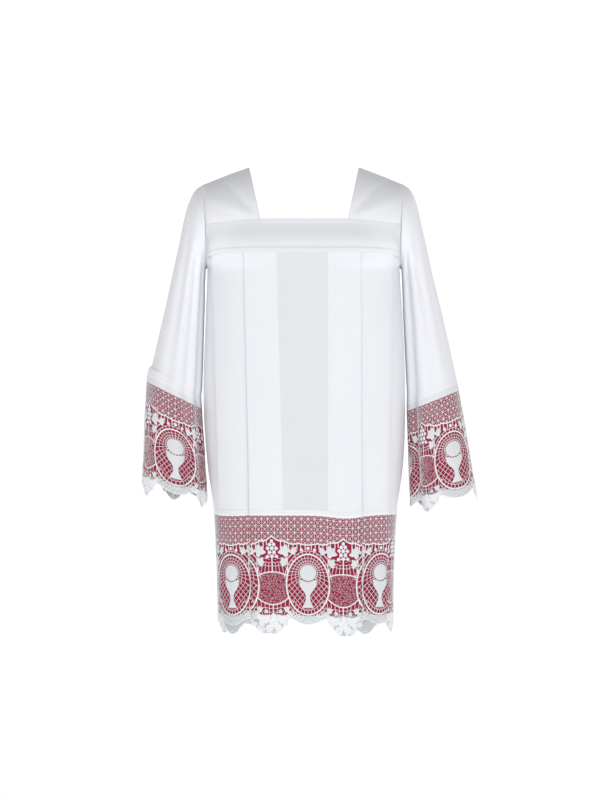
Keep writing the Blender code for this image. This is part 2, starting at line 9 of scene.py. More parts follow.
import bpy
import numpy as np
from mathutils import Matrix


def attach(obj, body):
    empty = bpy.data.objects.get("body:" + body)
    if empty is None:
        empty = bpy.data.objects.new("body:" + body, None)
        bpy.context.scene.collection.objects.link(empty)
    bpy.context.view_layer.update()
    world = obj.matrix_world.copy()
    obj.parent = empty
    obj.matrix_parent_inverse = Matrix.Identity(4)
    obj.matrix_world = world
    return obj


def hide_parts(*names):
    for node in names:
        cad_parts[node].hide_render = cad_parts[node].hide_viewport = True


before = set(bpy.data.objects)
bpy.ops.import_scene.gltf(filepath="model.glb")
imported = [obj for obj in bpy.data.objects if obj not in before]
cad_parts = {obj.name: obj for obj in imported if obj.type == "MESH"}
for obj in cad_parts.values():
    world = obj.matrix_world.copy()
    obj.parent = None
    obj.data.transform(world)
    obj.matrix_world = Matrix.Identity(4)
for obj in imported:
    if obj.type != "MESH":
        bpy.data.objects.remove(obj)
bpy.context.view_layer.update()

# %% [markdown]
# ## The body of the garment
# Seen from above, a body in cloth is a rounded oblong, and a superellipse draws that with one number for
# its roundness. Its half widths and its depth change slowly with height, so they are a short table that a
# smooth curve is drawn through. A straight line between the rows would leave a crease round the body at
# each of them.

# %% Smooth curves through short tables
def smooth(low, high, value):
    """An S curve: 0 below low, 1 above high."""
    share = np.clip((value - low) / (high - low), 0.0, 1.0)
    return share * share * (3.0 - 2.0 * share)


def between(first, last, share):
    """A value that share of the way from first to last."""
    return first + (last - first) * share


def curve(place, knots, values):
    """A cubic through a table: each piece leaves its knots at the mean slope of the pieces beside them."""
    knots = np.asarray(knots, float)
    values = np.asarray(values, float)
    slope = np.gradient(values, knots)
    place = np.clip(place, knots[0], knots[-1])
    piece = np.clip(np.searchsorted(knots, place, side="right") - 1, 0, len(knots) - 2)
    run = knots[piece + 1] - knots[piece]
    t = (place - knots[piece]) / run
    start = (1.0 + 2.0 * t) * (1.0 - t) ** 2 * values[piece] + t * (1.0 - t) ** 2 * run * slope[piece]
    end = t * t * (3.0 - 2.0 * t) * values[piece + 1] - t * t * (1.0 - t) * run * slope[piece + 1]
    return start + end


TORSO = {
    "height": (-0.950, -0.757, -0.694, -0.600, -0.486, -0.300, -0.202, -0.034),
    "left": (0.1710, 0.1768, 0.1806, 0.1935, 0.2015, 0.1975, 0.1940, 0.2010),
    "right": (0.1780, 0.1820, 0.1865, 0.1990, 0.2035, 0.1980, 0.1920, 0.1980),
    "depth": (0.1280, 0.1260, 0.1250, 0.1240, 0.1225, 0.1205, 0.1190, 0.1080),
}
ROUNDNESS = 2.8
ARMHOLE_MIDDLE = -0.118
ARMHOLE_HALF_HEIGHT = 0.084
ARMHOLE_HALF_DEPTH = 0.088
UNDERARM = ARMHOLE_MIDDLE - ARMHOLE_HALF_HEIGHT
RIDGE_ARM = ARMHOLE_MIDDLE + ARMHOLE_HALF_HEIGHT
SEAM = 0.0003


def torso_value(name, height):
    """A column of the body's table at any height."""
    return curve(height, TORSO["height"], TORSO[name])


def section(angle, height):
    """The body's front section: powers of the angle's sine and cosine, ended at armhole or side seam."""
    width = np.where(angle < 0.0, torso_value("left", height), torso_value("right", height))
    rise = np.clip((height - ARMHOLE_MIDDLE) / ARMHOLE_HALF_HEIGHT, -1.0, 1.0)
    edge = np.where(height > UNDERARM, ARMHOLE_HALF_DEPTH * np.sqrt(1.0 - rise * rise), 0.0)
    power = 2.0 / ROUNDNESS
    x = width * np.sign(angle) * np.abs(np.sin(angle)) ** power
    y = -(edge + (torso_value("depth", height) - edge) * np.abs(np.cos(angle)) ** power)
    return x, y


def angle_at(x, height):
    """The section's angle where it is x from the middle."""
    width = np.where(x < 0.0, torso_value("left", height), torso_value("right", height))
    return np.sign(x) * np.arcsin(np.clip(np.abs(x) / width, 0.0, 1.0) ** (ROUNDNESS / 2.0))


# Soft flutes in the hanging cloth: place at the hem, lean, width and how far each stands out.
FLUTES = {"front": (
    {"x": -0.012, "lean": 0.010, "width": 0.034, "depth": -0.0016},
    {"x": 0.076, "lean": -0.004, "width": 0.026, "depth": 0.0022},
    {"x": -0.078, "lean": 0.006, "width": 0.022, "depth": 0.0014},
    {"x": -0.136, "lean": -0.012, "width": 0.018, "depth": 0.0018},
    {"x": 0.138, "lean": 0.008, "width": 0.017, "depth": -0.0016},
), "back": (
    {"x": 0.020, "lean": -0.012, "width": 0.036, "depth": -0.0018},
    {"x": -0.070, "lean": 0.006, "width": 0.024, "depth": 0.0020},
    {"x": 0.084, "lean": -0.010, "width": 0.020, "depth": 0.0012},
    {"x": 0.140, "lean": 0.012, "width": 0.019, "depth": 0.0018},
    {"x": -0.142, "lean": -0.006, "width": 0.017, "depth": -0.0014},
)}
FLUTE_TOP = -0.230
FLUTE_FULL = -0.620


def flute(x, height, end):
    """How far the flutes lift the cloth: bells that open out steadily from the band to the hem."""
    opened = np.clip((FLUTE_TOP - height) / (FLUTE_TOP - FLUTE_FULL), 0.0, 1.3)
    lift = 0.0
    for one in FLUTES[end]:
        off = (x - one["x"] - one["lean"] * (1.0 - opened)) / one["width"]
        lift = lift + one["depth"] * np.exp(-off * off)
    return opened * lift


def on_torso(angle, height, along, lift, end="front"):
    """Points moved along the section and lifted out along its normal, the flutes added to the lift."""
    step = 0.001
    quarter = math.pi / 2.0
    x0, y0 = section(np.clip(angle - step, -quarter, quarter), height)
    x1, y1 = section(np.clip(angle + step, -quarter, quarter), height)
    run = np.hypot(x1 - x0, y1 - y0)
    tangent_x = (x1 - x0) / run
    tangent_y = (y1 - y0) / run
    x, y = section(angle, height)
    lift = lift + flute(x, height, end)
    x = x + tangent_x * along + tangent_y * lift
    y = y + tangent_y * along - tangent_x * lift
    return np.stack(np.broadcast_arrays(x, y, height), axis=-1)


# %% [markdown]
# ## Knife pleats
# A knife pleat is cloth folded back on itself twice, so a strip that looks 38 cm wide is really about a
# metre. One way would be to fold a flat mesh with a simulation, but pressed pleats are straight and sharp.
# It is simpler to walk along the strip and write down, for each station, which layer it is on: flat, round
# the outer bend, back underneath, round the inner bend, and flat again.

# %% Stations along a pleated strip
BAND_FOOT_MIDDLE = -0.174
LACE_TOP = -0.694
PLEATS = {
    -1.0: ({"top": 0.1185, "foot": 0.1045}, {"top": 0.1820, "foot": 0.1650}),
    1.0: ({"top": 0.1118, "foot": 0.1110}, {"top": 0.1765, "foot": 0.1640}),
}
PLEAT_DEPTH = 0.064
EDGE_RADIUS = 0.0010
UNDER_RADIUS_TOP = 0.0011
UNDER_RADIUS_FOOT = 0.0026
FLAT, EDGE, UNDER, INNER, SIDE = range(5)
FLAT_STEPS = 11
BEND_STEPS = 6
UNDER_STEPS = 9
SIDE_STEPS = 22
SHOW_THROUGH = 0.0012


def side_stations(sign):
    """The stations of one side from the middle out: sign, fold, kind of layer and share along that layer."""
    rows = []
    for fold in (0, 1):
        first = np.linspace(0.0, 1.0, FLAT_STEPS)
        second = np.linspace(1.000001, 2.0, FLAT_STEPS)[:-1]
        flat = np.concatenate([first, second]) if fold == 0 else np.linspace(0.0, 2.0, 2 * FLAT_STEPS)[1:-1]
        rows += [(sign, fold, FLAT, share) for share in flat]
        rows += [(sign, fold, EDGE, share) for share in np.linspace(0.0, 1.0, BEND_STEPS + 1)]
        rows += [(sign, fold, UNDER, share) for share in np.linspace(0.0, 1.0, UNDER_STEPS)[1:-1]]
        rows += [(sign, fold, INNER, share) for share in np.linspace(0.0, 1.0, BEND_STEPS + 1)]
    rows += [(sign, 2, SIDE, share) for share in np.linspace(0.0, 1.0, SIDE_STEPS + 1)[1:]]
    return rows


left_stations = side_stations(-1.0)
STATIONS = np.array(left_stations[:0:-1] + side_stations(1.0))
MIDDLE_STATION = len(left_stations) - 1
print("stations along a pleated panel:", len(STATIONS))


def strip(height, lift, end):
    """The pleated strip for rows of heights: each layer's own lift, plus the bend's sine and cosine."""
    sign, fold, kind, share = STATIONS.T
    height = np.broadcast_to(height, np.broadcast_shapes(np.shape(height), sign.shape))
    down = (BAND_FOOT_MIDDLE - height) / (BAND_FOOT_MIDDLE - LACE_TOP)
    under_radius = between(UNDER_RADIUS_TOP, UNDER_RADIUS_FOOT, np.clip(down, 0.0, 1.0))
    edges = []
    for number in (0, 1):
        left, right = (PLEATS[one][number] for one in (-1.0, 1.0))
        left_edge = between(left["top"], left["foot"], down)
        right_edge = between(right["top"], right["foot"], down)
        edges.append(np.where(sign < 0.0, left_edge, right_edge))
    edge = np.where(fold == 0, edges[0], edges[1])
    under = edge - PLEAT_DEPTH
    start = np.where(fold == 1, edges[0] - PLEAT_DEPTH, 0.0)
    inner_half = share * (under - SHOW_THROUGH)
    outer_half = between(under + SHOW_THROUGH, edge, share - 1.0)
    first_flat = np.where(share <= 1.0, inner_half, outer_half)
    start_angle = np.abs(angle_at(sign * start, height))
    edge_angle = np.abs(angle_at(sign * edge, height))
    under_angle = np.abs(angle_at(sign * under, height))
    first_angle = np.abs(angle_at(sign * first_flat, height))
    flat_angle = np.where(fold == 0, first_angle, between(start_angle, edge_angle, share / 2.0))
    last_angle = np.abs(angle_at(sign * (edges[1] - PLEAT_DEPTH), height))
    layers = [kind == FLAT, kind == EDGE, kind == UNDER, kind == INNER]
    side_angle = between(last_angle, math.pi / 2.0, share)
    angle = np.select(
        layers, [flat_angle, edge_angle, between(edge_angle, under_angle, share), under_angle], side_angle)
    turn = math.pi * share
    sunk = np.cos(turn) - 1.0
    level = (2.0 - fold) * 2.0 * (EDGE_RADIUS + under_radius)
    below = level - 2.0 * EDGE_RADIUS
    along = np.select([kind == EDGE, kind == INNER],
                      [EDGE_RADIUS * (np.sin(turn) - 1.0), under_radius * (1.0 - np.sin(turn))], 0.0)
    rise = np.select(layers, [level, level + EDGE_RADIUS * sunk, below, below + under_radius * sunk], 0.0)
    facing = np.select(layers, [0.0 * turn, turn, math.pi + 0.0 * turn, math.pi - turn], 0.0)
    at_seam = (kind == SIDE) & (share > 0.999)
    along = sign * (along + np.sin(facing) * lift) - np.where(at_seam, sign * SEAM / 2.0, 0.0)
    rise = rise + np.cos(facing) * lift
    return on_torso(sign * np.maximum(angle, 1e-6), height, along, rise, end)


def behind(points, end):
    """The back of the garment is the mirror image of the front, behind."""
    return points * np.array([1.0, -1.0 if end == "back" else 1.0, 1.0])


# %% [markdown]
# ## Meshes and thickness
# Every sheet is a grid of points, so one function makes them all: it gives the grid its faces, writes the
# cloth's own lengths in metres into its UV map, so that a weave keeps its real size, and turns the faces
# outwards. Solidify then gives it the thickness of cloth.

# %% Helpers that turn grids into pieces of cloth
WHITE_THICK = 0.0007
materials = {}
pieces = {}
cuts = {}


def make_mesh(name, points, faces, uv, outward, slot):
    """A mesh of quads from arrays, all turned over if their normals point against the outward vectors."""
    corners = points[faces[:, :3]]
    normal = np.cross(corners[:, 1] - corners[:, 0], corners[:, 2] - corners[:, 0])
    if np.sum(normal * outward[faces[:, 0]]) < 0.0:
        faces = faces[:, ::-1]
    mesh = bpy.data.meshes.new(name)
    loops = faces.ravel().astype(np.int32)
    starts = np.arange(0, len(loops), 4, dtype=np.int32)
    mesh.vertices.add(len(points))
    mesh.vertices.foreach_set("co", points.astype(np.float32).ravel())
    mesh.loops.add(len(loops))
    mesh.loops.foreach_set("vertex_index", loops)
    mesh.polygons.add(len(starts))
    mesh.polygons.foreach_set("loop_start", starts)
    layer = mesh.uv_layers.new(name="UVMap")
    layer.data.foreach_set("uv", uv[loops].astype(np.float32).ravel())
    mesh.update(calc_edges=True)
    mesh.validate()
    mesh.shade_smooth()
    mesh.materials.append(materials[slot])
    piece = bpy.data.objects.new(name, mesh)
    bpy.context.scene.collection.objects.link(piece)
    return piece


def grid_faces(rows, columns, closed=False):
    """Quads between the neighbours of a grid, joined round at its end where it is a tube."""
    index = np.arange(rows * columns).reshape(rows, columns)
    right = np.roll(index, -1, axis=1)
    if not closed:
        index, right = index[:, :-1], right[:, :-1]
    return np.stack([index[:-1], right[:-1], right[1:], index[1:]], axis=-1).reshape(-1, 4)


def grid_lengths(grid):
    """The cloth's own lengths at each point: distances added up along the rows and down the columns."""
    across = np.linalg.norm(np.diff(grid, axis=1), axis=2).mean(axis=0)
    down = np.linalg.norm(np.diff(grid, axis=0), axis=2).mean(axis=1)
    u = np.concatenate([[0.0], np.cumsum(across)])
    v = np.concatenate([[0.0], np.cumsum(down)])
    return np.stack(np.meshgrid(u, v), axis=-1)


def grid_normals(grid, closed=False):
    """Unit normals of a grid: the cross product of its slopes along rows and columns."""
    if closed:
        across = np.roll(grid, -1, axis=1) - np.roll(grid, 1, axis=1)
    else:
        across = np.gradient(grid, axis=1)
    normal = np.cross(across, np.gradient(grid, axis=0))
    return normal / np.maximum(np.linalg.norm(normal, axis=2, keepdims=True), 1e-12)


def give_whiteness_and_shade(piece, tone):
    """Writes how white the cloth or thread is painted at each point, painted shade included, which its
    material reads.
    """
    layer = piece.data.attributes.new("tone", "FLOAT", "POINT")
    layer.data.foreach_set("value", tone.astype(np.float32).ravel())


def cloth_piece(node, grid, outward, slot, thickness, closed=False, tone=None):
    """A sheet on a grid of points, which stands for one solid and has its thickness to either side."""
    name = f"{node}_cloth"
    rows, columns = grid.shape[:2]
    lengths = grid_lengths(grid)
    faces = grid_faces(rows, columns, closed)
    piece = make_mesh(name, grid.reshape(-1, 3), faces, lengths.reshape(-1, 2), outward.reshape(-1, 3), slot)
    if tone is not None:
        give_whiteness_and_shade(piece, np.broadcast_to(tone, (rows, columns)))
    wall = piece.modifiers.new("cloth", "SOLIDIFY")
    wall.thickness = thickness
    wall.offset = 0.0
    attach(piece, "root")
    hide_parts(node)
    width, length = lengths[-1, -1]
    if closed:
        width = width * columns / (columns - 1.0)
    print(f"{name}: {rows} x {columns} points, cut {1000 * width:.0f} x {1000 * length:.0f} mm")
    pieces[node], cuts[node] = piece, (float(width), float(length))


# %% [markdown]
# ## Colours and cloths
# The white cloth is a plain weave of polyester and cotton, slightly cool, matt and a little see-through: it
# looks greyer where it is single, as the shade inside shows through, and whiter where a pleat lies behind it.
# That shade is painted into each panel as a tone, and the shoulders' upward-facing ridge is painted greyer as
# shade too. The weave is two sets of fine waves at right angles.

# %% Materials
MOTTLE_SHARE = 0.22


def linear(code):
    """A colour written as sRGB hex, in linear values: the standard curve on each channel."""
    channels = [int(code[i:i + 2], 16) / 255.0 for i in (1, 3, 5)]
    return tuple(c / 12.92 if c <= 0.04045 else ((c + 0.055) / 1.055) ** 2.4 for c in channels) + (1.0,)


def add(tree, kind, sockets=None, **settings):
    """A node with its settings, and sockets that are given a value or linked to another node's output."""
    made = tree.nodes.new("ShaderNode" + kind)
    for name, value in settings.items():
        setattr(made, name, value)
    for name, value in (sockets or {}).items():
        if isinstance(value, bpy.types.NodeSocket):
            tree.links.new(value, made.inputs[name])
        else:
            made.inputs[name].default_value = value
    return made


def weave(tree, lengths, pitch):
    """Plain weave: the product of two sine waves at right angles, one thread pitch apart."""
    waves = []
    for direction in ("X", "Y"):
        wave = add(tree, "TexWave", {"Vector": lengths, "Scale": math.pi / (10.0 * pitch), "Distortion": 0.6,
                                     "Detail": 1.0, "Detail Scale": 2.0},
                   wave_type="BANDS", bands_direction=direction, wave_profile="SIN")
        waves.append(wave.outputs["Fac"])
    return add(tree, "Math", {0: waves[0], 1: waves[1]}, operation="MULTIPLY").outputs["Value"]


def fabric(slot, light, dark, pitch, roughness, sheen, bump, tone=False):
    """A woven or stitched cloth: soft mottling between two colours, a weave in relief and a faint sheen."""
    made = bpy.data.materials.new(slot + "_cloth")
    made.use_nodes = True
    tree = made.node_tree
    shader = tree.nodes["Principled BSDF"]
    lengths = add(tree, "UVMap", uv_map="UVMap").outputs["UV"]
    cloud = add(tree, "TexNoise", {"Vector": lengths, "Scale": 9.0, "Detail": 3.0, "Roughness": 0.5})
    fleck = add(tree, "TexNoise", {"Vector": lengths, "Scale": 420.0, "Detail": 2.0, "Roughness": 0.6})
    mottle = add(tree, "Mix", {0: 0.35, 2: cloud.outputs["Fac"], 3: fleck.outputs["Fac"]}, data_type="FLOAT")
    amount = mottle.outputs[0]
    # The tone attribute is painted whiteness and painted shade: it moves the colour from the dark towards the
    # light one.
    if tone:
        layer = add(tree, "Attribute", attribute_name="tone", attribute_type="GEOMETRY")
        amount = add(tree, "Math", {0: amount, 1: MOTTLE_SHARE, 2: layer.outputs["Fac"]},
                     operation="MULTIPLY_ADD", use_clamp=True).outputs["Value"]
    colour = add(tree, "Mix", {0: amount, 6: linear(dark), 7: linear(light)}, data_type="RGBA")
    tree.links.new(colour.outputs[2], shader.inputs["Base Color"])
    threads = weave(tree, lengths, pitch)
    relief = add(tree, "Bump", {"Height": threads, "Strength": bump, "Distance": 0.0002})
    tree.links.new(relief.outputs["Normal"], shader.inputs["Normal"])
    shader.inputs["Roughness"].default_value = roughness
    shader.inputs["Sheen Weight"].default_value = sheen
    shader.inputs["Sheen Roughness"].default_value = 0.5
    shader.inputs["Specular IOR Level"].default_value = 0.25
    materials[slot] = made
    return made


fabric("white_cloth", "#F4F5FA", "#E4E9EC", 0.00045, 0.85, 0.10, 0.25, tone=True)
fabric("crimson_cloth", "#A8244C", "#8B1B3A", 0.00040, 0.75, 0.10, 0.25)
fabric("lace_thread", "#F9FAFD", "#BFC7C9", 0.00060, 0.80, 0.10, 0.45, tone=True)
print("materials:", sorted(materials))

# %% [markdown]
# ## The front and back panels
# Each panel hangs from under the band's fold to the lace. Its last few millimetres are turned up and
# stitched, which shows as a slightly raised strip that is painted whiter as painted light. The rows of the
# grid are close together there.

# %% Pleated panels
HEM_DIPS = (
    {"x": 0.083, "drop": 0.006, "spread": 0.040},
    {"x": -0.150, "drop": 0.002, "spread": 0.030},
)
TURN_STEP = 0.0012
BAND_FOOT_ARM = -0.199
BAND_TUCK = 0.008
PANEL_FREE = 1.10
PANEL_TAPER = 0.30
PANEL_ROWS = 84
HEM_TURN = 0.009
HEM_RAISE = 0.0005
HEM_PAINTED_LIGHT = 1.0
# Painted shade on the panels: how white each layer is painted, by how many layers lie behind it.
PANEL_PAINTED_SHADE = {"over_pleat": 0.80, "edge": 0.85, "second_flat": 0.76, "side": 0.90, "single": 0.04}


def station_x(height):
    """How far each station lies from the middle, seen from the front."""
    return strip(np.full((1, 1), height), 0.0, "front")[0, :, 0]


hem_x = station_x(LACE_TOP)
STATION_DIPS = sum(dip["drop"] * np.exp(-(((hem_x - dip["x"]) / dip["spread"]) ** 2)) for dip in HEM_DIPS)


def band_foot(angle):
    """Height of the band's lower edge, which dips to the underarm by the fourth power of the angle."""
    return between(BAND_FOOT_MIDDLE, BAND_FOOT_ARM, (np.abs(angle) / (math.pi / 2.0)) ** 4)


def panel_painted_shade():
    """Painted shade: whiter where a pleat lies behind the cloth, greyer where the cloth is single and the
    shade inside would show through.
    """
    _, fold, kind, share = STATIONS.T
    over_pleat = (fold == 0) & (kind == FLAT) & (share > 1.0)
    second_flat = (fold == 1) & (kind == FLAT)
    *tones, single = PANEL_PAINTED_SHADE.values()
    return np.select([over_pleat, kind == EDGE, second_flat, kind == SIDE], tones, single)


def make_panel(end):
    """A panel: rows of heights from under the band down, the last of them lifted as a turned hem."""
    x = station_x(BAND_FOOT_MIDDLE)
    angle = angle_at(x, BAND_FOOT_MIDDLE + 0.0 * x)
    out = np.abs(angle) / (math.pi / 2.0)
    top = band_foot(angle) + BAND_TUCK * np.clip((PANEL_FREE - out) / PANEL_TAPER, 0.0, 1.0) - 2.0 * SEAM
    foot = LACE_TOP - STATION_DIPS
    turn = foot + HEM_TURN
    share = np.linspace(0.0, 1.0, PANEL_ROWS)[:, None]
    hem = np.array([0.0, 0.06, 0.12, 0.3, 0.6, 0.85, 1.0])[:, None]
    height = np.concatenate([between(top, turn + 0.001, share), between(turn, foot, hem)])
    lift = HEM_RAISE * smooth(0.0, TURN_STEP, turn - height)
    grid = strip(height, lift, end)
    outward = strip(height, lift + 0.001, end) - grid
    grid, outward = behind(grid, end), behind(outward, end)
    # Painted shade: the turned hem is painted full white, the rest by the layers behind it.
    tone = np.where(height < turn, HEM_PAINTED_LIGHT, panel_painted_shade())
    cloth_piece(end, grid, outward, "white_cloth", WHITE_THICK, tone=tone)
    return grid, outward


panel_grids = {end: make_panel(end) for end in ("front", "back")}

# %% [markdown]
# ## The band across the chest
# The band is a straight strip. Its lower edge is folded up and topstitched, so it stands a little proud of
# the rest and its edge is round. The fold is drawn here by carrying the rows round the edge and up behind
# it again, which casts the fine shadow over the pleats that flat cloth wouldn't.

# %% The two bands
BAND_TOP_NECK = -0.106
BAND_TOP_ARM = -0.118
BAND_FOLD = 0.0105
BAND_LIFT = {
    "out": (0.0, 0.37, 0.46, 0.76, 0.86, 1.0),
    "lift": (0.0108, 0.0108, 0.0075, 0.0072, 0.0010, 0.0),
}
# Painted shade: the band is painted at one level of whiteness all over.
BAND_PAINTED_SHADE = 0.35
BAND_THICK = 0.0009
BAND_COLUMNS = 141
FOLD_RAISE = 0.0011
FOLD_TUCK = 0.0010
FOLD_BEHIND = 0.005
NECK_HALF_FRONT = 0.087
NECK_HALF_TOP = 0.110
NECK_REACH = 0.004
NECK_TURN = 0.009
NECK_RAISE = 0.0005


def band_top(angle):
    """Height of the band's upper edge: level across the neck, then a straight slope down to the armhole."""
    x, _ = section(angle, BAND_TOP_ARM + 0.0 * angle)
    width = np.where(angle < 0.0, torso_value("left", BAND_TOP_ARM), torso_value("right", BAND_TOP_ARM))
    out = (np.abs(x) - NECK_HALF_FRONT) / (width - NECK_HALF_FRONT)
    return between(BAND_TOP_NECK, BAND_TOP_ARM, np.clip(out, 0.0, 1.0))


def stacked(*rows):
    """Rows of a band one below the other, each spread over all its columns."""
    return np.concatenate([np.broadcast_to(row, (len(row), BAND_COLUMNS)) for row in rows])


def make_band(end):
    """A band: its lift grows smoothly downwards, steps up at the fold and curls under below."""
    angle = np.linspace(-math.pi / 2.0, math.pi / 2.0, BAND_COLUMNS)[None, :]
    out = np.abs(angle) / (math.pi / 2.0)
    top, foot = band_top(angle), band_foot(angle)
    full = curve(out, BAND_LIFT["out"], BAND_LIFT["lift"])
    rise = np.clip((1.0 - out) * 8.0, 0.0, 1.0)
    fold = foot + BAND_FOLD
    down = np.concatenate([np.linspace(0.0, 0.02, 3), np.linspace(0.05, 0.98, 26), [0.99, 1.0]])[:, None]
    height = between(top, fold, down)
    in_neck = np.abs(section(angle, height)[0]) < NECK_HALF_FRONT + NECK_REACH
    neck = smooth(0.0, TURN_STEP, height - (top - NECK_TURN)) * in_neck
    lift = full * smooth(0.0, 0.85, down) + NECK_RAISE * neck
    strip_height = between(fold - 0.0002, foot + 0.0008, np.linspace(0.0, 1.0, 9)[:, None])
    strip_lift = full + FOLD_RAISE * rise * np.array([0.35, 0.8, 1.0, 1.0, 1.0, 1.0, 1.0, 0.95, 0.8])[:, None]
    turn = np.linspace(0.25, 1.0, 5)[:, None] * math.pi
    curl_height = foot + 0.0008 - 0.0006 * np.sin(turn)
    curl_lift = full + rise * (FOLD_RAISE * 0.8 - FOLD_TUCK * 0.5 * (1.0 - np.cos(turn)))
    tuck_height = foot + 0.0008 + FOLD_BEHIND * np.array([0.5, 1.0])[:, None]
    tuck_lift = np.repeat(curl_lift[-1:], 2, axis=0)
    heights = stacked(height, strip_height, curl_height, tuck_height)
    lifts = stacked(lift, strip_lift, curl_lift, tuck_lift)
    grid = on_torso(np.broadcast_to(angle, heights.shape), heights, 0.0, lifts, end)
    outward = on_torso(np.broadcast_to(angle, heights.shape), heights, 0.0, lifts + 0.001, end) - grid
    grid, outward = behind(grid, end), behind(outward, end)
    node = f"band_{end}"
    cloth_piece(node, grid, outward, "white_cloth", BAND_THICK, tone=BAND_PAINTED_SHADE)
    return grid, outward, len(height)


band_grids = {end: make_band(end) for end in ("front", "back")}

# %% [markdown]
# ## The shoulders
# Two wide strips run over the shoulders and leave the square neck between them. From the side each column of
# such a strip is half an ellipse, from the front band to the back one. The cloth pulls a little between the
# shoulder and the corner of the neck, so shallow creases fan out of that corner.

# %% The shoulder strips
SHOULDER_COLUMNS = 46
SHOULDER_ROWS = 121
SHOULDER_LEAN = 1.35
# Painted shade on the shoulders: whiteness at the front and back edges, and at the upward-facing ridge.
SHOULDER_PAINTED_SHADE = (1.0, 0.25)
SLEEVE_CLEAR = 0.0017
# Creases over a shoulder: where each starts and ends across the strip and round it, with its width and depth.
SHOULDER_CREASES = (
    {"from": (0.02, 0.04), "to": (0.62, 0.34), "width": 0.045, "depth": -0.0022},
    {"from": (0.16, 0.03), "to": (0.95, 0.22), "width": 0.050, "depth": 0.0018},
    {"from": (0.02, 0.96), "to": (0.58, 0.68), "width": 0.050, "depth": -0.0020},
    {"from": (0.30, 0.97), "to": (0.95, 0.80), "width": 0.060, "depth": 0.0014},
    {"from": (0.45, 0.40), "to": (0.98, 0.46), "width": 0.050, "depth": -0.0012},
)


def crease(u, v, one):
    """A soft trough or ridge along a straight stroke: a bell across it that fades out at both ends."""
    start, end = np.array(one["from"]), np.array(one["to"])
    stroke = end - start
    length = np.hypot(*stroke)
    along = ((u - start[0]) * stroke[0] + (v - start[1]) * stroke[1]) / length
    across = ((v - start[1]) * stroke[0] - (u - start[0]) * stroke[1]) / length
    ends = smooth(-0.1, 0.2, along) * smooth(length + 0.1, length - 0.25, along)
    return one["depth"] * np.exp(-((across / one["width"]) ** 2)) * ends


def make_shoulder(side):
    """A shoulder strip: x, y and z go from the front band's edge to the ridge by the sine of the turn."""
    sign = -1.0 if side == "left" else 1.0
    column = np.linspace(0.0, 1.0, SHOULDER_COLUMNS)
    width = float(torso_value(side, BAND_TOP_ARM))
    front_x = between(NECK_HALF_FRONT, width, column)
    angle = angle_at(sign * front_x, np.full_like(column, BAND_TOP_ARM))
    front_z = band_top(angle) + SEAM
    front = on_torso(angle, front_z, 0.0, 0.0)
    ridge_x = between(NECK_HALF_TOP, float(torso_value(side, RIDGE_ARM)) + SLEEVE_CLEAR - SEAM, column)
    ridge_z = RIDGE_ARM * column ** 1.1
    turn = np.linspace(0.0, math.pi, SHOULDER_ROWS)[:, None]
    rise = np.sin(turn) ** between(SHOULDER_LEAN, 1.0, column)
    x = between(front[:, 0], sign * ridge_x, rise)
    y = front[:, 1] * np.cos(turn)
    z = between(front_z, ridge_z, rise)
    grid = np.stack([x, y, z], axis=-1)
    outward = grid_normals(grid)
    outward *= np.sign(np.sum(outward[..., 2]))
    u, v = np.meshgrid(column, turn[:, 0] / math.pi)
    lift = sum(crease(u, v, one) for one in SHOULDER_CREASES)
    lift *= smooth(0.0, 0.10, v) * smooth(1.0, 0.90, v) * smooth(0.0, 0.06, u) * smooth(1.0, 0.94, u)
    along_edge = np.linalg.norm(grid - grid[:, :1], axis=2)
    lift += NECK_RAISE * smooth(NECK_TURN + 0.0006, NECK_TURN - 0.0006, along_edge)
    grid = grid + outward * lift[..., None]
    node = f"shoulder_{side}"
    # The ridge is painted greyer as shade where the cloth faces up.
    tone = between(*SHOULDER_PAINTED_SHADE, np.sin(math.pi * v) ** 2)
    cloth_piece(node, grid, outward, "white_cloth", BAND_THICK, tone=tone)
    return grid, outward


shoulder_grids = {side: make_shoulder(side) for side in ("left", "right")}

# %% [markdown]
# ## The sleeves
# A sleeve is a tube of rings. Each ring is an ellipse given by its outer and inner point seen from the
# front and by its depth, and the last ring lies at the top of the lace. Long soft folds run down the tube
# where it hangs from the shoulder. They are troughs at an angle that turns slowly on the way down, each
# with its own start.

# %% Sleeve rings and their folds
SLEEVES = {
    "left": {
        "outer_x": (0.2200, 0.2340, 0.2430, 0.2510, 0.2660, 0.2790, 0.2930, 0.3060, 0.3160, 0.3266),
        "outer_z": (-0.0470, -0.0760, -0.1100, -0.1500, -0.2180, -0.2800, -0.3400, -0.3960, -0.4280, -0.6570),
        "inner_x": (0.1985, 0.1988, 0.1992, 0.1997, 0.2005, 0.2020, 0.2035, 0.2055, 0.2068, 0.1943),
        "inner_z": (-0.2060, -0.2140, -0.2260, -0.2400, -0.2850, -0.3350, -0.3900, -0.4450, -0.4830, -0.6855),
        "depth": (0.0860, 0.0820, 0.0780, 0.0740, 0.0700, 0.0680, 0.0670, 0.0660, 0.0660, 0.0660),
    },
    "right": {
        "outer_x": (0.2160, 0.2280, 0.2360, 0.2450, 0.2600, 0.2750, 0.2890, 0.3020, 0.3110, 0.3495),
        "outer_z": (-0.0470, -0.0760, -0.1100, -0.1500, -0.2180, -0.2800, -0.3400, -0.4000, -0.4460, -0.6728),
        "inner_x": (0.1965, 0.1970, 0.1977, 0.1983, 0.1997, 0.2022, 0.2050, 0.2075, 0.2080, 0.2154),
        "inner_z": (-0.2060, -0.2140, -0.2260, -0.2400, -0.2850, -0.3400, -0.4000, -0.4550, -0.4880, -0.6990),
        "depth": (0.0860, 0.0820, 0.0780, 0.0740, 0.0700, 0.0680, 0.0670, 0.0660, 0.0660, 0.0660),
    },
}
LAST_RING = 9.0
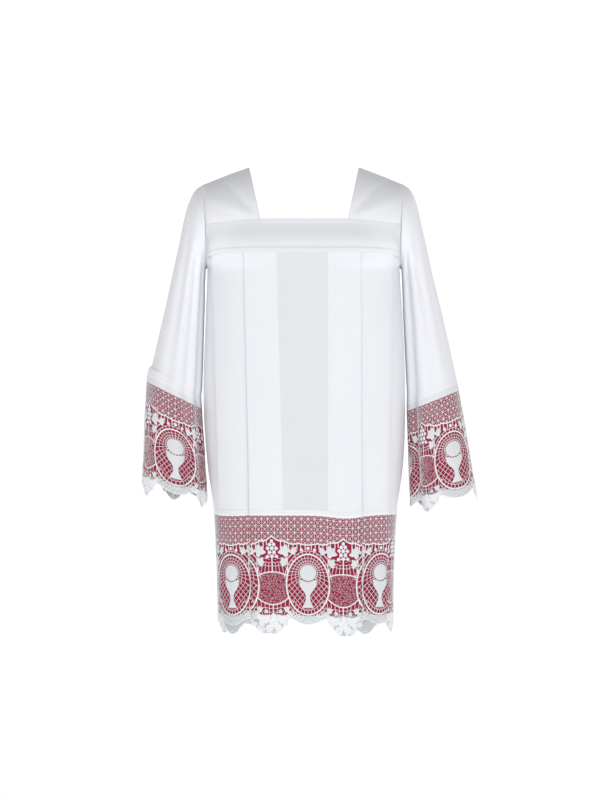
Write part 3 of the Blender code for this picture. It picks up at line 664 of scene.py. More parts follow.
# Each fold: its angle from the outer edge at the armhole and at the cuff, depth, width, and the rings it
# spans.
SLEEVE_FOLDS = {"left": (
    {"top": 105, "foot": 118, "depth": 0.008, "width": 13, "from": 1.0, "to": 20.0},
    {"top": 140, "foot": 152, "depth": 0.007, "width": 10, "from": 1.0, "to": 20.0},
    {"top": 60, "foot": 72, "depth": 0.005, "width": 14, "from": 1.0, "to": 20.0},
    {"top": -95, "foot": -110, "depth": 0.008, "width": 14, "from": 1.0, "to": 20.0},
    {"top": -140, "foot": -148, "depth": 0.006, "width": 14, "from": 1.0, "to": 20.0},
    {"top": 150, "foot": 40, "depth": 0.0030, "width": 11, "from": 1.5, "to": 6.0},
    {"top": 88, "foot": 96, "depth": 0.0020, "width": 7, "from": 3.0, "to": 9.0},
    {"top": -60, "foot": -20, "depth": 0.0030, "width": 12, "from": 2.0, "to": 7.0},
), "right": (
    {"top": 120, "foot": 146, "depth": 0.013, "width": 15, "from": 1.0, "to": 20.0},
    {"top": 70, "foot": 84, "depth": 0.004, "width": 16, "from": 1.0, "to": 20.0},
    {"top": -110, "foot": -128, "depth": 0.010, "width": 15, "from": 1.0, "to": 20.0},
    {"top": -70, "foot": -80, "depth": 0.005, "width": 14, "from": 1.0, "to": 20.0},
    {"top": 145, "foot": 30, "depth": 0.0030, "width": 12, "from": 1.5, "to": 6.0},
    {"top": 40, "foot": 52, "depth": 0.0020, "width": 8, "from": 3.0, "to": 9.0},
    {"top": -40, "foot": -10, "depth": 0.0030, "width": 12, "from": 2.0, "to": 7.0},
)}
SLEEVE_COLUMNS = 128
ROLL_RADIUS, ROLL_SUNK, ROLL_IN = 0.0014, 0.0010, 0.0008
SLEEVE_ROWS = 88
SLEEVE_ANGLES = (np.arange(SLEEVE_COLUMNS) * 2.0 * math.pi / SLEEVE_COLUMNS)[None, :]
CUFF_TURN = 0.21


def sleeve_value(side, name, place):
    """A column of a sleeve's table, with the armhole in front of it, as a smooth curve that runs on below."""
    armhole = {"outer_x": torso_value(side, RIDGE_ARM) + SLEEVE_CLEAR, "outer_z": RIDGE_ARM,
               "inner_x": torso_value(side, UNDERARM) + SLEEVE_CLEAR, "inner_z": UNDERARM,
               "depth": ARMHOLE_HALF_DEPTH}
    column = (float(armhole[name]),) + SLEEVES[side][name]
    knots = np.arange(len(column))
    inside = curve(place, knots, column)
    beyond = column[-1] + (column[-1] - column[-2]) * (place - knots[-1])
    return np.where(place > knots[-1], beyond, inside)


def sleeve_ring(side, place, angle):
    """Points of the tube: an ellipse at each ring, made smaller where a fold's bell lies."""
    outer_x = sleeve_value(side, "outer_x", place)
    outer_z = sleeve_value(side, "outer_z", place)
    inner_x = sleeve_value(side, "inner_x", place)
    inner_z = sleeve_value(side, "inner_z", place)
    fall = np.clip(place / LAST_RING, 0.0, 1.0)
    trough = 0.0
    for one in SLEEVE_FOLDS[side]:
        off = (np.degrees(angle) - between(one["top"], one["foot"], fall) + 180.0) % 360.0 - 180.0
        spans = smooth(one["from"], one["from"] + 3.0, place) * smooth(one["to"], one["to"] - 3.0, place)
        trough = trough + one["depth"] * np.exp(-((off / one["width"]) ** 2)) * spans
    half = (outer_x - inner_x) / 2.0
    half_z = (outer_z - inner_z) / 2.0
    size = 1.0 - trough / np.hypot(half, half_z)
    x = (outer_x + inner_x) / 2.0 + half * np.cos(angle) * size
    y = -sleeve_value(side, "depth", place) * np.sin(angle) * size
    z = (outer_z + inner_z) / 2.0 + half_z * np.cos(angle) * size
    sign = -1.0 if side == "left" else 1.0
    return np.stack(np.broadcast_arrays(sign * x, y, z), axis=-1)


def sleeve_surface(side, place, angle):
    """The tube's points and its outward normals, the cross product of the slopes round and down it."""
    step = 0.02
    above = np.maximum(place - step, 0.0)
    round_way = sleeve_ring(side, place, angle + step) - sleeve_ring(side, place, angle - step)
    down_way = sleeve_ring(side, place + step, angle) - sleeve_ring(side, above, angle)
    normal = np.cross(down_way, round_way) if side == "left" else np.cross(round_way, down_way)
    return sleeve_ring(side, place, angle), normal / np.linalg.norm(normal, axis=-1, keepdims=True)


def make_sleeve(side):
    """A sleeve: rings from the armhole to the lace, the last ones lifted as a turned hem."""
    turn = LAST_RING - CUFF_TURN
    hem = between(turn, LAST_RING, np.array([0.0, 0.05, 0.1, 0.35, 0.7, 1.0]))
    place = np.concatenate([np.linspace(0.0, turn - 0.01, SLEEVE_ROWS), hem])[:, None]
    points, normal = sleeve_surface(side, place, SLEEVE_ANGLES)
    grid = points + normal * (HEM_RAISE * smooth(turn, turn + 0.02, place))[..., None]
    cloth_piece(f"sleeve_{side}", grid, normal, "white_cloth", WHITE_THICK, closed=True, tone=1.0)
    return grid, normal


def make_seam_roll(side):
    """The armhole seam's turned edges: a thin roll, a circle at each point of the sleeve's first ring."""
    ring = sleeve_ring(side, np.zeros((1, 1)), SLEEVE_ANGLES)
    radial = (ring - ring.mean(axis=1, keepdims=True)) * np.array([0.0, 1.0, 1.0])
    radial /= np.linalg.norm(radial, axis=2, keepdims=True)
    inward = np.array([1.0 if side == "left" else -1.0, 0.0, 0.0])
    turn = np.linspace(0.0, 2.0 * math.pi, 11)[:, None, None]
    outward = np.cos(turn) * radial + np.sin(turn) * inward
    grid = ring + inward * ROLL_IN - radial * ROLL_SUNK + outward * ROLL_RADIUS
    lengths = grid_lengths(grid)
    faces = grid_faces(len(grid), SLEEVE_COLUMNS, closed=True)
    roll = make_mesh(f"armhole_roll_{side}", grid.reshape(-1, 3), faces, lengths.reshape(-1, 2),
                     outward.reshape(-1, 3), "white_cloth")
    give_whiteness_and_shade(roll, np.full(grid.shape[:2], 1.0))
    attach(roll, "root")
    print(f"{roll.name}: {len(faces)} faces")
    return roll


sleeve_grids = {side: make_sleeve(side) for side in ("left", "right")}
seam_rolls = {f"sleeve_{side}": make_seam_roll(side) for side in ("left", "right")}

# %% [markdown]
# ## The crimson linings
# A plain crimson cloth hangs behind the lace and gives it its colour. It follows the same pleats and folds,
# and its lower edge is straight, so the lace's scallops hang free below it.

# %% Linings behind the hem lace and the sleeve lace
LINING_THICK = 0.0005
LINING_DROP = 0.202
LINING_ROWS = 34
SLEEVE_LACE_LENGTH = 0.240


def make_lining(end):
    """A lining: the pleated strip from the panel's hem down to one level height."""
    share = np.linspace(0.0, 1.0, LINING_ROWS)[:, None]
    height = between(LACE_TOP - STATION_DIPS - SEAM, LACE_TOP - LINING_DROP, share)
    grid = strip(height, 0.0, end)
    outward = strip(height, 0.001, end) - grid
    cloth_piece(f"lining_{end}", behind(grid, end), behind(outward, end), "crimson_cloth", LINING_THICK)


def make_sleeve_lining(side):
    """A sleeve's lining: the tube carried on below its last ring."""
    drop = np.linspace(SEAM, LINING_DROP, LINING_ROWS)[:, None]
    grid, normal = sleeve_surface(side, LAST_RING + drop / SLEEVE_LACE_LENGTH, SLEEVE_ANGLES)
    cloth_piece(f"lining_sleeve_{side}", grid, normal, "crimson_cloth", LINING_THICK, closed=True)


for end in ("front", "back"):
    make_lining(end)
for side in ("left", "right"):
    make_sleeve_lining(side)

# %% [markdown]
# ## Guipure lace
# This lace is embroidered in thick thread on a cloth that is then dissolved, so nothing is left but thread:
# nets, cords, bars between them, and solid leaves, discs and grapes filled with satin stitch. It is drawn
# flat in millimetres, one repeat wide. A thread is a ribbon with a ridge along its middle, and a filled
# shape is a low dome. Each drawing is then repeated and laid on the pleated strip or on the sleeve.

# %% Drawing with thread
MM = 0.001
STITCH_STEP = 2.4
PICOT_SIDES = 10
CORD_TONE = 0.86
SATIN_TONE = 0.50
SHADED_TONE = 0.0
# Each kind of thread: its width and how far its ridge stands up, in millimetres.
THREADS = {
    "net": (0.84, 0.40), "net_side": (0.34, 0.40), "border": (2.5, 0.8),
    "oval": (2.9, 1.1), "halo_rim": (1.0, 0.4), "ring": (0.85, 0.4), "spoke": (0.80, 0.4),
    "closing_line": (1.0, 0.45), "closing_bar": (1.0, 0.4), "disc_bar": (1.1, 0.5),
    "fine": (0.28, 0.40), "panel_line": (2.4, 0.9), "vein": (0.8, 1.1), "stem": (1.8, 0.7),
    "grape_bar": (1.7, 0.5), "upper_stem": (2.2, 0.8), "lower_stem": (2.0, 0.8), "border_bar": (1.6, 0.5),
    "upper_fan": (0.9, 0.4), "lower_fan": (1.0, 0.4), "wave": (0.9, 0.35),
    "outer_bar": (1.1, 0.4), "outer_ring": (1.1, 0.5),
    "edge_ring": (1.9, 0.7), "backing": (2.3, 0.3), "edge_line": (2.4, 0.9),
}
drawing = []


def resample(path, step, closed=False):
    """Points at even distances along a path."""
    path = np.asarray(path, float)
    if closed:
        path = np.concatenate([path, path[:1]])
    length = np.concatenate([[0.0], np.cumsum(np.linalg.norm(np.diff(path, axis=0), axis=1))])
    count = max(2, int(math.ceil(length[-1] / step)) + 1)
    place = np.linspace(0.0, length[-1], count)
    return np.stack([np.interp(place, length, path[:, axis]) for axis in (0, 1)], axis=1)


def patch(points, height, uv, main=False, tone=CORD_TONE):
    """Adds a grid of flat points with a height each to the drawing, and how white its thread looks."""
    rows, columns = points.shape[:2]
    flat = np.concatenate([points, height[..., None]], axis=2).reshape(-1, 3)
    drawing.append((flat, grid_faces(rows, columns), uv.reshape(-1, 2), main, tone))


def thread(path, kind, closed=False, main=False, step=STITCH_STEP, tone=CORD_TONE):
    """A thread along a path: three points across it, level at its edges and raised along its middle."""
    width, rise = THREADS[kind]
    path = resample(path, step, closed)
    along = np.gradient(path, axis=0)
    if closed:
        along[0] = along[-1] = path[1] - path[-2]
    along /= np.maximum(np.linalg.norm(along, axis=1, keepdims=True), 1e-9)
    side = np.stack([-along[:, 1], along[:, 0]], axis=1)
    across = np.array([-1.0, 0.0, 1.0])
    points = path[:, None, :] + side[:, None, :] * across[None, :, None] * width / 2.0
    height = np.broadcast_to(rise * (1.0 - np.abs(across)), points.shape[:2])
    length = np.concatenate([[0.0], np.cumsum(np.linalg.norm(np.diff(path, axis=0), axis=1))])
    uv = np.stack(np.broadcast_arrays(across[None, :] * width / 2.0, length[:, None]), axis=-1)
    patch(points, height, uv, main, tone)


def dome(middle, rim, rise=0.8, main=False, tone=CORD_TONE):
    """A filled shape: its rim level, a ring inside it nearly at full height, and its middle."""
    rim = np.asarray(rim, float)
    rings = np.stack([rim, rim * 0.66, rim * 0.004]) + np.asarray(middle, float)
    rings = np.concatenate([rings, rings[:, :1]], axis=1)
    height = np.broadcast_to(np.array([0.0, 0.85, 1.0])[:, None] * rise, rings.shape[:2])
    patch(rings, height, rings * 1.0, main, tone)


def circle(radius, sides=PICOT_SIDES):
    """A circle's points about its middle."""
    turn = np.arange(sides) * 2.0 * math.pi / sides
    return radius * np.stack([np.cos(turn), np.sin(turn)], axis=1)


def runs(path, keep, step=1.0):
    """The stretches of a path that lie where keep is true."""
    path = resample(path, step)
    inside = np.concatenate([[False], keep(path), [False]])
    starts = np.flatnonzero(inside[1:] & ~inside[:-1])
    ends = np.flatnonzero(~inside[1:] & inside[:-1])
    return [path[a:b] for a, b in zip(starts, ends) if b - a > 2]


# %% [markdown]
# ### Where the parts of one repeat lie
# A repeat is 140 mm wide with an oval medallion in its middle and half a panel of fine net at either end.
# Drops are measured down from the lace's upper edge. The net above has a lower border of small swags that
# rises to a point over each panel.

# %% Sizes of one repeat, in millimetres
REPEAT = 140.0
HALF = REPEAT / 2.0
OVAL = np.array([0.0, 143.0])
OVAL_HALF = np.array([42.5, 60.0])
HOST = np.array([0.0, 120.0])
HOST_RADIUS = 16.0
PANEL_TOP, PANEL_FOOT = 118.0, 183.0
NET_TOP = 6.0
NET_CELL = np.array([REPEAT / 11.0, 13.8])
BORDER_CUSPS = {"s": (0.0, 19.0, 45.0, 70.0), "drop": (61.5, 61.5, 57.0, 47.0), "sag": (3.0, 3.5, 3.5)}
VALLEY, ROUND_TIP, POINT_TIP, SCALLOP_SPLIT = 208.0, 222.5, 241.0, 0.26


def off_middle(s):
    """Distance from the nearest medallion's middle."""
    return np.abs((s / REPEAT + 0.5) % 1.0 - 0.5) * REPEAT


def border(s):
    """The upper net's lower edge: straight between its cusps, with a half sine of sag added in each swag."""
    off = off_middle(s)
    line = np.interp(off, BORDER_CUSPS["s"], BORDER_CUSPS["drop"])
    for first, last, sag in zip(BORDER_CUSPS["s"], BORDER_CUSPS["s"][1:], BORDER_CUSPS["sag"]):
        share = np.clip((off - first) / (last - first), 0.0, 1.0)
        line = line + sag * (np.sin(math.pi * share) if first > 0.0 else np.cos(math.pi * share / 2.0))
    return line


def scallop(s):
    """Drop of the free edge: a shallow cosine lobe under each medallion and a deep one under each panel."""
    off = off_middle(s) / REPEAT
    shallow = np.cos(np.clip(off / SCALLOP_SPLIT, 0.0, 1.0) * math.pi / 2.0)
    deep = np.cos(np.clip((0.5 - off) / (0.5 - SCALLOP_SPLIT), 0.0, 1.0) * math.pi / 2.0)
    return VALLEY + (ROUND_TIP - VALLEY) * shallow + (POINT_TIP - VALLEY) * deep


def in_oval(path, scale=1.0):
    """Whether points lie in the nearest medallion's oval, made that much larger or smaller."""
    size = np.stack([off_middle(path[:, 0]) / OVAL_HALF[0], (path[:, 1] - OVAL[1]) / OVAL_HALF[1]], axis=1)
    return np.sum(size * size, axis=1) < scale * scale


def panel_edge(s, drop, bow):
    """The panel's upper or lower line: level in its middle and bowed towards the ovals by a square."""
    return drop + bow * ((HALF - off_middle(s)) / 28.0) ** 2


def in_panel(path):
    """Whether points lie in the fine net between two ovals."""
    s, d = path[:, 0], path[:, 1]
    return (d > panel_edge(s, PANEL_TOP, 7.0)) & (d < panel_edge(s, PANEL_FOOT, -11.0)) & ~in_oval(path)


def oval_line(scale, first=0.0, last=360.0, count=90):
    """Part of an ellipse round the medallion's middle, from one angle to another."""
    turn = np.radians(np.linspace(first, last, count))
    return OVAL + np.stack([np.cos(turn), np.sin(turn)], axis=1) * OVAL_HALF * scale


across = np.linspace(-HALF, HALF, 141)
print("one repeat:", REPEAT, "mm wide, tips at", ROUND_TIP, "and", POINT_TIP, "mm")

# %% [markdown]
# ### The upper net and its border
# The net is a lattice of squares, each with both diagonals and a cross through its middle, which leaves small
# three-cornered holes about bright knots. Its threads are cut off at the border, as the embroiderer's are.

# %% The upper net
NET_COLUMNS, NET_ROWS = 11, 5
NET_STEP = 3.4


def draw_net():
    """Squares with diagonals, crosses and a knot in each, kept between the header and the border."""
    keep = lambda path: (path[:, 1] > NET_TOP - 0.5) & (path[:, 1] < border(path[:, 0]) + 0.5)
    wide, tall = NET_CELL
    stars, sides = [], []
    for column in range(NET_COLUMNS):
        s = -HALF + (column + 0.5) * wide
        stars.append([(s, NET_TOP), (s, 70.0)])
        sides.append([(s - wide / 2.0, NET_TOP), (s - wide / 2.0, 70.0)])
        for row in range(NET_ROWS):
            d = NET_TOP + row * tall
            stars.append([(s - wide / 2.0, d), (s + wide / 2.0, d + tall)])
            stars.append([(s + wide / 2.0, d), (s - wide / 2.0, d + tall)])
    for row in range(NET_ROWS):
        d = NET_TOP + (row + 0.5) * tall
        stars.append([(-HALF, d), (HALF, d)])
        sides.append([(-HALF, d + tall / 2.0), (HALF, d + tall / 2.0)])
    for lines, kind in ((stars, "net"), (sides, "net_side")):
        for line in lines:
            for part in runs(line, keep):
                thread(part, kind, step=NET_STEP)
    for column in range(NET_COLUMNS):
        for row in range(NET_ROWS):
            middle = np.array([-HALF + (column + 0.5) * wide, NET_TOP + (row + 0.5) * tall])
            if middle[1] < border(middle[0]) - 2.0:
                dome(middle, circle(1.3, 8), 0.75)
    thread(np.stack([across, border(across)], axis=1), "border", main=True)
    for s, drop in ((-45.0, 57.0), (-19.0, 61.5), (19.0, 61.5), (45.0, 57.0), (HALF, 47.0)):
        dome((s, drop - 0.8), circle(1.6, 8), 0.9)


def draw_header():
    """The solid strip that is sewn to the cloth, with small teeth along its lower edge."""
    rows = np.array([0.0, 1.0, 3.0, NET_TOP + 0.4])
    points = np.stack(np.meshgrid(np.linspace(-HALF, HALF, 71), rows), axis=-1)
    height = np.broadcast_to(np.array([0.0, 0.45, 0.45, 0.0])[:, None], points.shape[:2])
    patch(points[:, ::-1], height, points[:, ::-1] * 1.0, main=True, tone=1.0)


draw_header()
draw_net()
print("upper net:", len(drawing), "threads and knots")

# %% [markdown]
# ### The medallion
# An oval cord encloses a disc over a cup, both filled with satin stitch. Rings and spokes surround the disc
# like a halo, a slanting lattice fills the space beside the cup, and short bars close the oval below.

# %% The medallion
CUP = {
    "drop": (134.0, 135.5, 138.0, 143.0, 148.0, 152.0, 155.5, 159.0,
             163.0, 167.0, 171.0, 175.5, 180.0, 184.5, 188.0, 189.3),
    "half": (18.6, 18.4, 17.2, 16.6, 14.9, 12.4, 9.6, 7.0, 5.1, 4.2, 4.2, 5.2, 6.9, 9.2, 11.4, 11.0),
}
HALO_RINGS = (0.28, 0.60)
CLOSING_BARS = 0.85
HALO_FROM, HALO_TO = -212.0, 32.0
DISC_GAP = 2.0
SPOKE_EVERY, LATTICE_STEP = 12.2, 10.6


def in_cup(path, margin):
    """Whether points lie in the cup or closer to it than the margin."""
    s, d = np.abs(path[:, 0]), path[:, 1]
    half = np.interp(d, CUP["drop"], CUP["half"])
    return (s < half + margin) & (d > CUP["drop"][0] - margin) & (d < CUP["drop"][-1] + margin)


def near_host(path, margin):
    """Whether points lie in the disc or closer to it than the margin."""
    return np.linalg.norm(path - HOST, axis=1) < HOST_RADIUS + margin


def reach(turn):
    """Distance from the disc's middle to the oval in given directions, by the ellipse's quadratic."""
    way = np.stack([np.cos(turn), np.sin(turn)], axis=-1) / OVAL_HALF
    start = (HOST - OVAL) / OVAL_HALF
    a = np.sum(way * way, axis=-1)
    b = np.sum(way * start, axis=-1)
    return (-b + np.sqrt(b * b + a * (1.0 - start @ start))) / a


def halo_line(share, first, last):
    """A line that share of the way from the disc's rim to the oval, over a range of directions."""
    turn = np.radians(np.linspace(first, last, 70))
    radius = between(HOST_RADIUS + 2.6, reach(turn), share)
    return HOST + radius[:, None] * np.stack([np.cos(turn), np.sin(turn)], axis=1)


def draw_medallion():
    """The oval's cord, halo, lattice, closing bars, disc and cup."""
    thread(oval_line(1.0), "oval", closed=True, main=True)
    thread(halo_line(0.0, HALO_FROM, HALO_TO), "halo_rim")
    clear = lambda path: ~in_cup(path, 0.6)
    for share in HALO_RINGS:
        for part in runs(halo_line(share, HALO_FROM, HALO_TO), clear):
            thread(part, "ring")
    thread(oval_line(CLOSING_BARS, 38.0, 142.0), "closing_line")
    for turn in np.radians(np.arange(HALO_FROM, HALO_TO + 1.0, SPOKE_EVERY)):
        way = np.array([math.cos(turn), math.sin(turn)])
        spoke = [HOST + way * (HOST_RADIUS - 0.5), HOST + way * reach(turn)]
        for part in runs(spoke, clear):
            thread(part, "spoke")
    slope = math.tan(math.radians(HALO_TO))
    below = lambda path: (in_oval(path, np.where(path[:, 1] > 180.0, CLOSING_BARS, 1.0)) & ~in_cup(path, 0.0)
                          & ~near_host(path, 0.0) & (path[:, 1] > HOST[1] + slope * np.abs(path[:, 0])))
    for offset in np.arange(-5.25, 5.5) * LATTICE_STEP:
        for lean in (-1.0, 1.0):
            drops = np.linspace(116.0, 204.0, 60)
            bend = 0.0035 * (drops - 160.0) ** 2
            s = lean * ((drops - 160.0) * 0.86 + offset - bend * 0.25)
            for part in runs(np.stack([s, drops], axis=1), below):
                thread(part, "spoke")
    for turn in np.radians(np.arange(40.0, 143.0, 10.0)):
        way = np.array([math.cos(turn), math.sin(turn)]) * OVAL_HALF
        thread([OVAL + way * CLOSING_BARS, OVAL + way], "closing_bar")
    dome(HOST, circle(HOST_RADIUS, 40), 0.9, main=True, tone=SATIN_TONE)
    drops = np.array(CUP["drop"])
    half = np.array(CUP["half"])
    side = np.array([1.0, 0.94, 0.8, 0.6, 0.4, 0.2, 0.0, -0.2, -0.4, -0.6, -0.8, -0.94, -1.0])
    points = np.stack(np.broadcast_arrays(half[:, None] * side[None, :], drops[:, None]), axis=-1)
    under = HOST[1] + np.sqrt(np.maximum((HOST_RADIUS + DISC_GAP) ** 2 - points[..., 0] ** 2, 0.0))
    points[..., 1] = np.maximum(points[..., 1], under + 0.05 * np.arange(len(drops))[:, None])
    height = np.broadcast_to(np.sqrt(1.0 - side ** 2), points.shape[:2])
    patch(points, height, points * 1.0, main=True, tone=SATIN_TONE)
    for turn in np.radians(np.arange(36.0, 145.0, 18.0)):
        way = np.array([math.cos(turn), math.sin(turn)])
        thread([HOST + way * (HOST_RADIUS - 0.5), HOST + way * (HOST_RADIUS + DISC_GAP + 0.5)], "disc_bar")


before = len(drawing)
draw_medallion()
print("medallion:", len(drawing) - before, "threads and fillings")

# %% [markdown]
# ### Leaves, grapes and the fine net
# Between the medallions stand a bunch of grapes and vine leaves over a panel of wandering fine net. All of
# it is drawn about the panel's middle, at the right end of the repeat. A leaf is a dome whose rim follows a
# short table of five pointed lobes. The fine net joins the points of a shaken triangular grid, and some of
# its threads are left out, so no two holes are alike.

# %% The panel with its leaves and grapes
FINE_PITCH = 5.1
FINE_SHAKE, FINE_SKIP = 0.36, 0.09
FINE_SEED = 11
LEAF_RIM = {"angle": (0, 12, 20, 33, 47, 57, 68, 82, 98, 115, 128, 148, 180),
            "radius": (1.00, 0.82, 0.86, 0.64, 0.80, 0.92, 0.74, 0.58, 0.72, 0.84, 0.62, 0.46, 0.30)}


def leaf(middle, size, turn, narrow):
    """A vine leaf: the rim's radius is read from a table, the same on both sides, and the leaf is turned."""
    phi = np.linspace(0.0, 2.0 * math.pi, 44, endpoint=False)
    off = np.degrees(np.minimum(phi, 2.0 * math.pi - phi))
    radius = size * np.interp(off, LEAF_RIM["angle"], LEAF_RIM["radius"])
    rim = np.stack([radius * np.cos(phi), narrow * radius * np.sin(phi)], axis=1)
    rotate = np.array([[math.cos(turn), math.sin(turn)], [-math.sin(turn), math.cos(turn)]])
    dome(middle, rim @ rotate, 0.9, tone=SATIN_TONE)
    way = np.array([math.cos(turn), math.sin(turn)])
    thread([np.asarray(middle) - 0.25 * size * way, np.asarray(middle) + 0.7 * size * way], "vein")


# Leaves of one half of the panel: place from its middle, size, direction of the tip and how narrow.
LEAVES = (
    {"place": (23.5, 78.5), "size": 16.5, "turn": -68.0, "narrow": 0.84},
    {"place": (23.5, 95.5), "size": 13.5, "turn": 105.0, "narrow": 0.72},
    {"place": (41.0, 78.0), "size": 11.5, "turn": -60.0, "narrow": 0.72},
    {"place": (25.5, 192.5), "size": 9.5, "turn": -25.0, "narrow": 0.80},
    {"place": (33.5, 201.0), "size": 7.5, "turn": 10.0, "narrow": 0.80},
    {"place": (14.0, 197.5), "size": 6.5, "turn": -80.0, "narrow": 0.85},
)
STEMS = (((23.5, 84.0), (29.5, 92.0), (24.0, 96.0)), ((41.0, 80.0), (34.0, 88.0), (29.5, 92.0)),
         ((29.5, 92.0), (31.0, 104.0), (29.0, 119.0)), ((25.5, 192.5), (30.0, 198.0), (33.5, 201.0)))
GRAPES = ((0.0, 56.4), (-4.4, 63.6), (4.3, 63.2), (-8.8, 71.2), (0.0, 71.0), (9.0, 71.4),
          (-4.9, 79.4), (4.5, 79.0), (-9.6, 88.4), (0.0, 87.2), (9.4, 87.4))
GRAPE_RADIUS = 3.3
GRAPE_REACH = 10.9
BORDER_BARS = 12.0
GRAPE_BOX = {"half": 10.0, "top": 54.0, "foot": 93.0}
# Bars across the panel, by their distance from its middle.
BORDER_BAR_PLACES = (-33.0, -26.0, -17.0, -10.5, 9.5, 17.5, 25.0, 33.0,
                     41.0, 48.5, 55.5, 64.0, 76.0, 84.0, 91.5, 99.0)
FAN_PLACES = (-27.0, -20.5, -14.0, -7.0, 7.0, 13.5, 20.5, 27.5)
WAVE_DROPS = (92.0, 98.5, 105.5, 189.5, 197.0)
OUTER_BAR_EVERY = 9.3


def mirrored(s, drop):
    """The two places that lie s to either side of the panel's middle."""
    return ((HALF + s, drop), (HALF - s, drop))


def clear_of_leaves(path, margin=0.4):
    """Whether points lie off the leaves, the grapes and the ovals."""
    off = HALF - off_middle(path[:, 0])
    clear = ~in_oval(path, 1.02)
    for one in LEAVES:
        gap = np.hypot(off - one["place"][0], path[:, 1] - one["place"][1])
        clear &= gap > 0.60 * one["size"] + margin
    grapes = (off < GRAPE_BOX["half"]) & (path[:, 1] > GRAPE_BOX["top"]) & (path[:, 1] < GRAPE_BOX["foot"])
    return clear & ~grapes


def draw_fine_net():
    """The shaken grid: each point joins three neighbours, and about one thread in eleven is left out."""
    rng = np.random.default_rng(FINE_SEED)
    rows = int((PANEL_FOOT - PANEL_TOP + 12.0) / FINE_PITCH) + 1
    columns = int(64.0 / FINE_PITCH) + 2
    shake = rng.uniform(-FINE_SHAKE, FINE_SHAKE, (rows, columns, 2)) * FINE_PITCH
    row, column = np.mgrid[0:rows, 0:columns]
    s = HALF - 32.0 + (column + 0.5 * (row % 2)) * FINE_PITCH + shake[..., 0]
    d = PANEL_TOP - 2.0 + row * FINE_PITCH + shake[..., 1]
    places = np.stack([s, d], axis=-1)
    skip = rng.random((rows, columns, 3)) < FINE_SKIP
    for r in range(rows - 1):
        for c in range(columns - 1):
            below = c + r % 2
            ends = ((r, c + 1), (r + 1, min(below, columns - 1)), (r + 1, max(below - 1, 0)))
            for number, other in enumerate(ends):
                if not skip[r, c, number]:
                    for part in runs([places[r, c], places[other]], in_panel, step=0.8):
                        thread(part[[0, -1]], "fine", step=6.0)


def draw_panel():
    """The panel's lines, leaves, stems, grapes and the bars that hold them together."""
    outside = lambda path: ~in_oval(path, 1.0)
    for drop, bow in ((PANEL_TOP, 7.0), (PANEL_FOOT, -11.0)):
        line = np.stack([across, panel_edge(across, drop, bow)], axis=1)
        for part in runs(line, outside):
            thread(part, "panel_line", main=True)
    for one in LEAVES:
        turn = math.radians(one["turn"])
        right, left = mirrored(*one["place"])
        leaf(right, one["size"], turn, one["narrow"])
        leaf(left, one["size"], math.pi - turn, one["narrow"])
    for stem in STEMS:
        for points in zip(*(mirrored(*point) for point in stem)):
            thread(points, "stem")
    for number, first in enumerate(GRAPES):
        for last in GRAPES[number + 1:]:
            if math.dist(first, last) < GRAPE_REACH:
                thread([(HALF + first[0], first[1]), (HALF + last[0], last[1])], "grape_bar")
    for s, drop in GRAPES:
        dome((HALF + s, drop), circle(GRAPE_RADIUS, 12), 1.5)
    thread([(HALF, 87.0), (HALF, PANEL_TOP)], "upper_stem")
    thread([(HALF, PANEL_FOOT), (HALF, VALLEY)], "lower_stem")
    bars = lambda path: (clear_of_leaves(path) & ~in_panel(path) & (path[:, 1] > border(path[:, 0]))
                         & (path[:, 1] < scallop(path[:, 0]) - 20.0))
    below = lambda path: bars(path) & (path[:, 1] < border(path[:, 0]) + BORDER_BARS)
    for s in BORDER_BAR_PLACES:
        for part in runs([(HALF + s, 45.0), (HALF + s + 0.6, 88.0)], below):
            thread(part, "border_bar")
    for s in FAN_PLACES:
        for part in runs([(HALF + 0.9 * s, 100.0), (HALF + 1.15 * s, 124.0)], bars):
            thread(part, "upper_fan")
        for part in runs([(HALF + 1.25 * s, 168.0), (HALF + s, 212.0)], bars):
            thread(part, "lower_fan")
    near = lambda path: bars(path) & (HALF - off_middle(path[:, 0]) < 26.0)
    for drop in WAVE_DROPS:
        for part in runs(np.stack([across, drop + 1.2 * np.cos(across / 3.4)], axis=1), near):
            thread(part, "wave")
    turns = [np.arange(first, last, OUTER_BAR_EVERY) for first, last in ((-160.0, -19.0), (46.0, 135.0))]
    for turn in np.radians(np.concatenate(turns)):
        way = np.array([math.cos(turn), math.sin(turn)]) * OVAL_HALF
        thread([OVAL + way, OVAL + way * 1.10], "outer_bar")
    for first, last in ((-168.0, -12.0), (40.0, 140.0)):
        thread(oval_line(1.11, first, last), "outer_ring")
    for s, drop in ((-13.0, 74.5), (0.0, 71.2), (13.0, 74.5)):
        dome((s, drop), circle(3.3, 12), 1.3)


before = len(drawing)
draw_fine_net()
draw_panel()
print("panel, leaves and grapes:", len(drawing) - before, "threads and fillings")

# %% [markdown]
# ### The scalloped edge
# Under each medallion two rows of small rings form a shallow scallop. Under each panel the deep scallop is
# a close heap of blossoms, nearly solid. A row of round picots ends the lace all along.

# %% The free edge
# Each blossom: its distance from the panel's middle, its drop and its size.
BLOSSOMS = ((0.0, 217.5, 10.5), (-17.0, 212.0, 9.5), (17.5, 212.5, 9.0), (-8.5, 229.5, 8.5),
            (9.5, 229.0, 8.5), (-27.5, 207.5, 6.5), (28.0, 208.0, 6.5), (-23.0, 221.0, 6.0),
            (23.5, 221.0, 6.0), (0.5, 205.5, 6.0), (-9.5, 207.0, 4.5), (10.5, 206.5, 4.5))
RING_EVERY = 6.4
PICOT_EVERY = 5.0
EDGE_RING = 2.8


def blossom(middle, size):
    """Six round petals about a raised middle."""
    middle = np.asarray(middle, float)
    for turn in np.radians(np.arange(0.0, 360.0, 60.0) + size * 13.0):
        petal = middle + 0.60 * size * np.array([math.cos(turn), math.sin(turn)])
        dome(petal, circle(0.42 * size, 10), 1.1)
    dome(middle, circle(0.26 * size, 8), 1.7)


